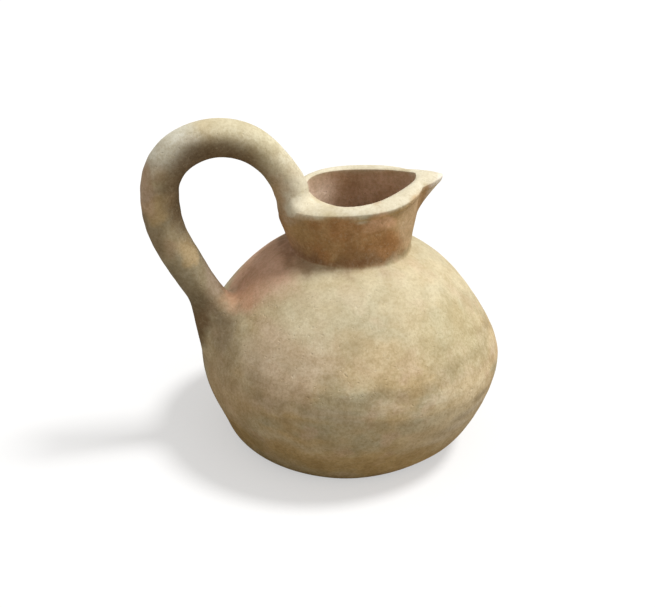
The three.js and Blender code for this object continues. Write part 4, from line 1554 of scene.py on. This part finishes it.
class Paint:
    """Paints the clay by place: each method lays its colours over those of the last.

    The group takes Object coordinates, how far the surface looks up and the share of the
    inner wall, and puts out the colour.
    """

    def __init__(self, clay: Clay, patterns: Patterns, reaches: Reaches) -> None:
        """Opens the group and works out the masks that several layers use.

        Args:
            clay: The colours.
            patterns: The noises.
            reaches: Where the colours lie.
        """
        sockets = {"Place": "NodeSocketVector", "Up": "NodeSocketFloat", "Inside": "NodeSocketFloat"}
        n, inputs, self.output = new_group("clay_colours", sockets, {"Color": "NodeSocketColor"})
        self.clay, self.patterns, self.reaches, self.n = clay, patterns, reaches, n
        self.place, self.up, self.inside = (inputs[label] for label in sockets)
        self.loose = self.warped()
        self.x, _, self.z = n.add("ShaderNodeSeparateXYZ", {0: self.loose}).outputs
        self.radius = n.vector("LENGTH", n.vector("MULTIPLY", self.loose, (1.0, 1.0, 0.0)))
        self.colour: object = clay.buff
        front = n.product(n.maths("MAXIMUM", self.x, 0.0), reaches.neck_front_climb)
        above = n.ramp(n.maths("SUBTRACT", self.level(reaches.neck_climb), front), *reaches.neck_foot)
        self.collar = n.product(above, n.ramp(self.radius, *reaches.neck_radius))
        self.below_rim = n.maths("SUBTRACT", reaches.rim_height, self.level(reaches.rim_climb))
        out = n.maths("ADD", self.radius, n.product(self.z, reaches.handle_lean))
        beside = n.ramp(self.radius, *reaches.handle_radius)
        beside = n.maths("MAXIMUM", beside, n.ramp(self.z, *reaches.handle_height))
        self.handle = n.product(n.ramp(out, *reaches.handle_level), beside)
        crown = n.product(self.collar, n.ramp(self.below_rim, *reaches.crown_bottom))
        crown = n.product(crown, n.ramp(self.below_rim, *reaches.crown_top))
        self.crown = n.product(crown, n.ramp(self.up, *reaches.crown_slope))

    def warped(self) -> Socket:
        """The coordinates with a ragged noise added, so that no stain has a straight edge."""
        look, n = self.patterns.warp, self.n
        ragged = n.noise(self.place, look).node.outputs["Color"]
        centred = n.vector("SUBTRACT", ragged, (0.5, 0.5, 0.5))
        return n.vector("ADD", self.place, n.vector("MULTIPLY", centred, (look.reach,) * 3))

    def level(self, climb: float) -> Socket:
        """The height less a share of X, which is the same along a line that climbs."""
        return self.n.maths("SUBTRACT", self.z, self.n.product(self.x, climb))

    def away(self, height: float, climb: float) -> Socket:
        """How far a place lies above or below a line that climbs along X."""
        return self.n.maths("ABSOLUTE", self.n.maths("SUBTRACT", self.level(climb), height))

    def coat(self, share: object, colour: object, label: str) -> None:
        """Lays a colour over what is painted so far.

        Args:
            share: How much it covers.
            colour: The colour.
            label: Name of the layer's node.
        """
        self.colour = self.n.mix(share, self.colour, colour)
        self.colour.node.label = label

    def ground(self) -> None:
        """The body's buff clay: browner at the foot, with clouds of three colours and bands."""
        n, clay, patterns, reaches = self.n, self.clay, self.patterns, self.reaches
        self.coat(n.ramp(self.z, *reaches.brown_foot), clay.brown, "brown_foot")
        self.coat(n.pattern(self.place, patterns.cloud), clay.ochre, "ochre_cloud")
        self.coat(n.pattern(self.place, patterns.grey_cloud), clay.grey_green, "grey_cloud")
        self.coat(n.pattern(self.place, patterns.pink_cloud), clay.pink, "pink_cloud")
        bands = n.product(n.pattern(self.place, patterns.bands), n.ramp(self.z, *reaches.bands))
        self.coat(bands, clay.brown, "bands")

    def neck(self) -> None:
        """The neck's orange-brown under the rim, drawn in upright streaks, with painted shade towards its
        foot.
        """
        n, clay, patterns, reaches = self.n, self.clay, self.patterns, self.reaches
        share = n.product(self.collar, n.ramp(self.below_rim, *reaches.neck_top))
        share = n.product(share, n.ramp(self.up, *reaches.neck_slope))
        orange = n.mix(n.pattern(self.place, patterns.neck_cloud), clay.neck, clay.ochre)
        orange = n.mix(n.pattern(self.place, patterns.neck_streaks), orange, clay.crease)
        # Painted shade towards the neck's foot.
        orange = n.mix(n.ramp(self.z, *reaches.neck_foot_shade), orange, clay.crease)
        self.coat(share, orange, "neck")

    def pale_tops(self) -> None:
        """Paler cream where the clay looks up, and worn brown spots, fewer where it looks up."""
        n, patterns, reaches = self.n, self.patterns, self.reaches
        thin = n.pattern(self.place, patterns.thin_cream)
        self.coat(n.product(n.ramp(self.up, *reaches.cream_slope), thin), self.clay.cream, "pale_tops")
        worn = n.pattern(self.place, patterns.worn_spots)
        self.coat(n.product(worn, n.ramp(self.up, *reaches.worn_slope)), self.clay.worn, "worn")

    def rings(self) -> None:
        """The bands that a wiping hand left round the pot, torn by a noise."""
        torn = self.n.pattern(self.place, self.patterns.torn_rings)
        for ring in self.clay.rings:
            near = self.n.ramp(self.away(ring.height, ring.climb), ring.half_width, 0.0)
            self.coat(self.n.product(near, torn, ring.strength), ring.colour, ring.name)

    def painted_handle_shade(self) -> None:
        """Painted shade on the handle, faint on its sides and deeper on what looks down."""
        for span in (self.reaches.handle_side_shade, self.reaches.handle_under_shade):
            share = self.n.product(self.handle, self.n.ramp(self.up, *span))
            self.coat(share, self.clay.handle_shade_brown, "painted_handle_shade")

    def stains(self) -> None:
        """The stains, each on the handle alone or anywhere, some of them painted light and shade, and the
        painted shade inside the handle's loop.
        """
        # Where the painted loop shade falls: the handle's faces that look down or aside.
        shaded = self.n.product(self.handle, self.n.ramp(self.up, *self.reaches.shade_slope))
        groups = (
            (self.clay.stains, self.loose, 1.0),
            (self.clay.handle_stains, self.loose, self.handle),
            ((self.clay.painted_loop_shade,), self.place, shaded),
            (self.clay.streaks, self.place, 1.0),
        )
        for stains, around, where in groups:
            for stain in stains:
                share = self.n.product(self.n.patch(around, stain), where, stain.strength)
                self.coat(share, stain.colour, stain.name)

    def edges(self) -> None:
        """Painted shade in the crease at the neck's foot, the pale rim, partly a painted highlight, and
        painted brown shade on what looks down.
        """
        n, clay, reaches = self.n, self.clay, self.reaches
        # Painted shade in the crease at the neck's foot.
        crease = n.ramp(self.away(reaches.crease_height, reaches.crease_climb), *reaches.crease_width)
        crease = n.product(crease, n.ramp(self.radius, *reaches.crease_radius))
        crease = n.product(crease, n.ramp(self.x, *reaches.crease_back))
        self.coat(crease, clay.crease, "crease")
        # The pale rim, partly a painted highlight where the crown looks up.
        self.coat(self.crown, clay.rim, "rim")
        # Painted shade, brown, on the body's faces that look down.
        body = n.maths("SUBTRACT", 1.0, self.handle)
        self.coat(n.product(body, n.ramp(self.up, *reaches.down_shade_slope)), clay.brown, "painted_down_shade")

    def hollow(self) -> None:
        """The inner wall, with painted shadow under the far rim and painted light on its left side."""
        n, clay = self.n, self.clay
        hollow = n.mix(n.pattern(self.place, self.patterns.hollow_cloud), clay.inner, clay.neck)
        for stain in clay.throat_light_and_shade:
            hollow = n.mix(n.product(n.patch(self.loose, stain), stain.strength), hollow, stain.colour)
        self.coat(self.inside, hollow, "hollow")

    def speckle(self) -> None:
        """Dark flecks, fewer on the rim, and pale dust."""
        n, patterns = self.n, self.patterns
        fewer = n.ramp(self.crown, *self.reaches.fewer_flecks)
        self.coat(n.product(n.pattern(self.place, patterns.flecks), fewer), self.clay.speck, "flecks")
        self.coat(n.pattern(self.place, patterns.dust), self.clay.cream, "dust")

    def tone(self) -> None:
        """A fine grain and a mottle that darken and warm the clay, calmer on rim and shoulder."""
        n, reaches = self.n, self.reaches
        grain = n.pattern(self.place, self.patterns.grain)
        tone = n.product(grain, n.pattern(self.place, self.patterns.mottle))
        even = n.product(self.crown, reaches.even_crown)
        even = n.maths("MAXIMUM", even, n.ramp(self.up, *reaches.even_slope))
        tone = n.maths("MULTIPLY_ADD", n.maths("SUBTRACT", 1.0, tone), even, tone)
        powers = (reaches.green_power, reaches.blue_power)
        green, blue = (n.maths("POWER", tone, power) for power in powers)
        shade = n.add("ShaderNodeCombineColor", {0: tone, 1: green, 2: blue}).outputs[0]
        self.colour = n.mix(1.0, self.colour, shade, "MULTIPLY")

    def build(self) -> bpy.types.NodeTree:
        """Lays all the layers, from the ground up.

        Returns:
            The group.
        """
        for layer in (
            self.ground,
            self.neck,
            self.pale_tops,
            self.rings,
            self.painted_handle_shade,
            self.stains,
            self.edges,
            self.hollow,
            self.speckle,
            self.tone,
        ):
            layer()
        self.n.fill(self.output.inputs["Color"], self.colour)
        return self.n.tree


def relief_group(patterns: Patterns) -> bpy.types.NodeTree:
    """The clay's fine relief: grit, soft pits and wiping streaks round the wheel.

    Args:
        patterns: The noises.

    Returns:
        A group that takes Object coordinates and the depth of the streaks, and puts out a
        height in metres and a roughness.
    """
    sockets = {"Place": "NodeSocketVector", "Wheel": "NodeSocketFloat"}
    results = {"Height": "NodeSocketFloat", "Roughness": "NodeSocketFloat"}
    n, inputs, output = new_group("clay_relief", sockets, results)
    place = inputs["Place"]
    rough = n.maths("ADD", n.grit(place, patterns.sand), n.grit(place, patterns.lumps))
    rough = n.maths("ADD", rough, n.pattern(place, patterns.pits))
    streaks = n.product(n.grit(place, patterns.wheel_streaks), inputs["Wheel"])
    n.fill(output.inputs["Height"], n.maths("ADD", rough, streaks))
    n.fill(output.inputs["Roughness"], n.pattern(place, patterns.dullness))
    return n.tree


def clay_material(
    finish: Finish,
    colours: bpy.types.NodeTree,
    relief: bpy.types.NodeTree,
) -> bpy.types.Material:
    """The material of one slot, from the shared groups.

    Args:
        finish: The slot, its wheel marks and its gloss.
        colours: Group with the clay's colours.
        relief: Group with the clay's relief.

    Returns:
        The material.
    """
    material = bpy.data.materials.new(finish.slot.value)
    n = emptied(material)
    where = n.add("ShaderNodeTexCoord").outputs["Object"]
    paint = n.add("ShaderNodeGroup", node_tree=colours)
    n.fill(paint.inputs["Place"], where)
    for label in ("Up", "Inside"):
        known = n.add("ShaderNodeAttribute", attribute_name=label.lower())
        n.fill(paint.inputs[label], known.outputs["Fac"])
    rough = n.add("ShaderNodeGroup", node_tree=relief)
    n.fill(rough.inputs["Place"], where)
    n.fill(rough.inputs["Wheel"], finish.wheel)
    height = rough.outputs["Height"]
    bumps = n.add("ShaderNodeBump", {"Height": height, "Strength": 1.0, "Distance": 1.0})
    shader = n.add("ShaderNodeBsdfPrincipled", {
        "Base Color": paint.outputs["Color"],
        "Roughness": rough.outputs["Roughness"],
        "Normal": bumps.outputs["Normal"],
        "Metallic": 0.0,
        "IOR": finish.ior,
        "Specular IOR Level": finish.gloss,
    })
    n.add("ShaderNodeOutputMaterial", {"Surface": shader.outputs[0]})
    return material


def emptied(owner: bpy.types.Material | bpy.types.World) -> Nodes:
    """The writer of a material's or a world's nodes, with all its nodes taken out."""
    owner.use_nodes = True
    owner.node_tree.nodes.clear()
    return Nodes(owner.node_tree)


# Floor, lamps and camera


@dataclass
class Studio:
    """The plain floor, the soft lamps and the camera."""

    lens: float = 53.41
    sensor: float = 36.0
    elevation: float = 26.0
    azimuth: float = -16.5
    roll: float = 2.18
    side_shift: float = -0.01219
    target_height: float = 0.07512
    distance: float = 0.55
    nearest: float = 0.01
    key_direction: Place = (0.48, -0.06, 1.0)
    key_angle: float = 14.0
    key_strength: float = 2.4
    fill_direction: Place = (0.45, -0.60, 0.66)
    fill_angle: float = 80.0
    fill_strength: float = 0.43
    world_strength: float = 0.40
    world_colour: Colour = (1.0, 0.97, 0.93)
    floor_size: float = 6.0
    floor_seen: Colour = (0.95, 0.95, 0.95)
    floor_glow: float = 0.5
    floor_bounce: Colour = (0.30, 0.27, 0.23)

    def camera(self) -> None:
        """Places the camera: it looks at a point over the base, turned a little about its axis."""
        rise, turn, roll = (math.radians(a) for a in (self.elevation, self.azimuth, self.roll))
        back = Vector((
            math.sin(turn) * math.cos(rise),
            -math.cos(turn) * math.cos(rise),
            math.sin(rise),
        ))
        right = Vector((math.cos(turn), math.sin(turn), 0.0))
        up = back.cross(right)
        right_rolled = right * math.cos(roll) + up * math.sin(roll)
        up_rolled = up * math.cos(roll) - right * math.sin(roll)
        place = right * self.side_shift + Vector((0.0, 0.0, self.target_height)) + back * self.distance
        data = bpy.data.cameras.new("camera")
        data.lens = self.lens
        data.sensor_width = self.sensor
        data.sensor_fit = "HORIZONTAL"
        data.clip_start = self.nearest
        camera = bpy.data.objects.new("camera", data)
        axes = Matrix((right_rolled, up_rolled, back)).transposed()
        camera.matrix_world = Matrix.Translation(place) @ axes.to_4x4()
        bpy.context.scene.collection.objects.link(camera)
        bpy.context.scene.camera = camera

    def lamp(self, name: str, direction: Place, angle: float, strength: float) -> None:
        """Adds a far, soft lamp.

        Args:
            name: Name of the lamp.
            direction: Where the light comes from.
            angle: Width of the lamp in the sky, in degrees.
            strength: Its strength in watts on a square metre.
        """
        way = Vector(direction).normalized()
        data = bpy.data.lights.new(name, "SUN")
        data.angle = math.radians(angle)
        data.energy = strength
        lamp = bpy.data.objects.new(name, data)
        turned = way.to_track_quat("Z", "Y").to_matrix().to_4x4()
        lamp.matrix_world = Matrix.Translation(way) @ turned
        bpy.context.scene.collection.objects.link(lamp)

    def lamps(self) -> None:
        """A high lamp behind the spout, a wide fill in front, and an even pale surround."""
        self.lamp("key", self.key_direction, self.key_angle, self.key_strength)
        self.lamp("fill", self.fill_direction, self.fill_angle, self.fill_strength)
        world = bpy.data.worlds.new("studio")
        bpy.context.scene.world = world
        n = emptied(world)
        light = {"Color": self.world_colour, "Strength": self.world_strength}
        surround = n.add("ShaderNodeBackground", light).outputs[0]
        seen = n.add("ShaderNodeBackground", {"Color": WHITE, "Strength": 1.0}).outputs[0]
        camera = n.add("ShaderNodeLightPath").outputs["Is Camera Ray"]
        choice = n.add("ShaderNodeMixShader", {0: camera, 1: surround, 2: seen})
        n.add("ShaderNodeOutputWorld", {"Surface": choice.outputs[0]})

    def floor(self) -> None:
        """A wide pale floor that keeps the jug's shadow."""
        half = self.floor_size / 2.0
        mesh = bpy.data.meshes.new("floor")
        square = [(-half, -half, 0.0), (half, -half, 0.0), (half, half, 0.0), (-half, half, 0.0)]
        mesh.from_pydata(square, [], [(0, 1, 2, 3)])
        ground = bpy.data.objects.new("floor", mesh)
        bpy.context.scene.collection.objects.link(ground)
        material = bpy.data.materials.new("pale_floor")
        n = emptied(material)
        camera = n.add("ShaderNodeLightPath").outputs["Is Camera Ray"]
        colour = n.mix(camera, self.floor_bounce, self.floor_seen)
        matt = n.add("ShaderNodeBsdfDiffuse", {"Color": colour}).outputs[0]
        glow = n.add("ShaderNodeEmission", {"Color": WHITE, "Strength": 1.0}).outputs[0]
        share = n.product(camera, self.floor_glow)
        both = n.add("ShaderNodeMixShader", {0: share, 1: matt, 2: glow})
        n.add("ShaderNodeOutputMaterial", {"Surface": both.outputs[0]})
        mesh.materials.append(material)
        ground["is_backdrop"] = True

    def build(self) -> None:
        """Sets up the camera, the lamps, the floor and the plain view transform."""
        self.camera()
        self.lamps()
        self.floor()
        bpy.context.scene.view_settings.view_transform = "Standard"


@dataclass
class Jug:
    """The whole jug: builds each piece and dresses it in its slot's finish."""

    body: Body = field(default_factory=Body)
    patterns: Patterns = field(default_factory=Patterns)
    materials: dict[Slot, bpy.types.Material] = field(default_factory=dict)

    def dress(self, piece: bpy.types.Object, node: str, slot: Slot) -> None:
        """Gives a piece its slot's material and its body, and hides the node that it replaces.

        Args:
            piece: The piece.
            node: Name of the node that it replaces.
            slot: Its finish.
        """
        piece.data.materials.append(self.materials[slot])
        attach(piece, BODY_NAME)
        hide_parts(node)
        points, faces = len(piece.data.vertices), len(piece.data.polygons)
        LOG.info("%s: %d points, %d faces", piece.name, points, faces)

    def build(self) -> None:
        """Makes the finishes, then the pieces from the body up."""
        colours = Paint(Clay(), self.patterns, Reaches()).build()
        relief = relief_group(self.patterns)
        self.materials = {f.slot: clay_material(f, colours, relief) for f in FINISHES}
        neck = Neck(self.body)
        handle = Handle(self.body, neck)
        luting = Luting(self.body, neck, handle)
        self.dress(self.body.build(), "body", Slot.BODY)
        self.dress(neck.build(), "neck_and_spout", Slot.NECK)
        self.dress(handle.build(), "handle", Slot.HANDLE)
        self.dress(luting.neck_coil(), "neck_luting_coil", Slot.LUTING)
        self.dress(luting.upper_pad(), "upper_handle_luting_pad", Slot.LUTING)
        self.dress(luting.lower_pad(), "lower_handle_luting_pad", Slot.LUTING)


def corners(bounds: tuple) -> list[list[float]]:
    """A box's two corners as plain lists."""
    return [list(corner) for corner in bounds]


def main(cad_box: list[list[float]]) -> None:
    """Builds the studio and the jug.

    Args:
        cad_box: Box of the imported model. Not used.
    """
    logging.basicConfig(level=logging.INFO, format="%(message)s")
    Studio().build()
    Jug().build()


if __name__ == "__main__":
    main(corners(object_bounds()))
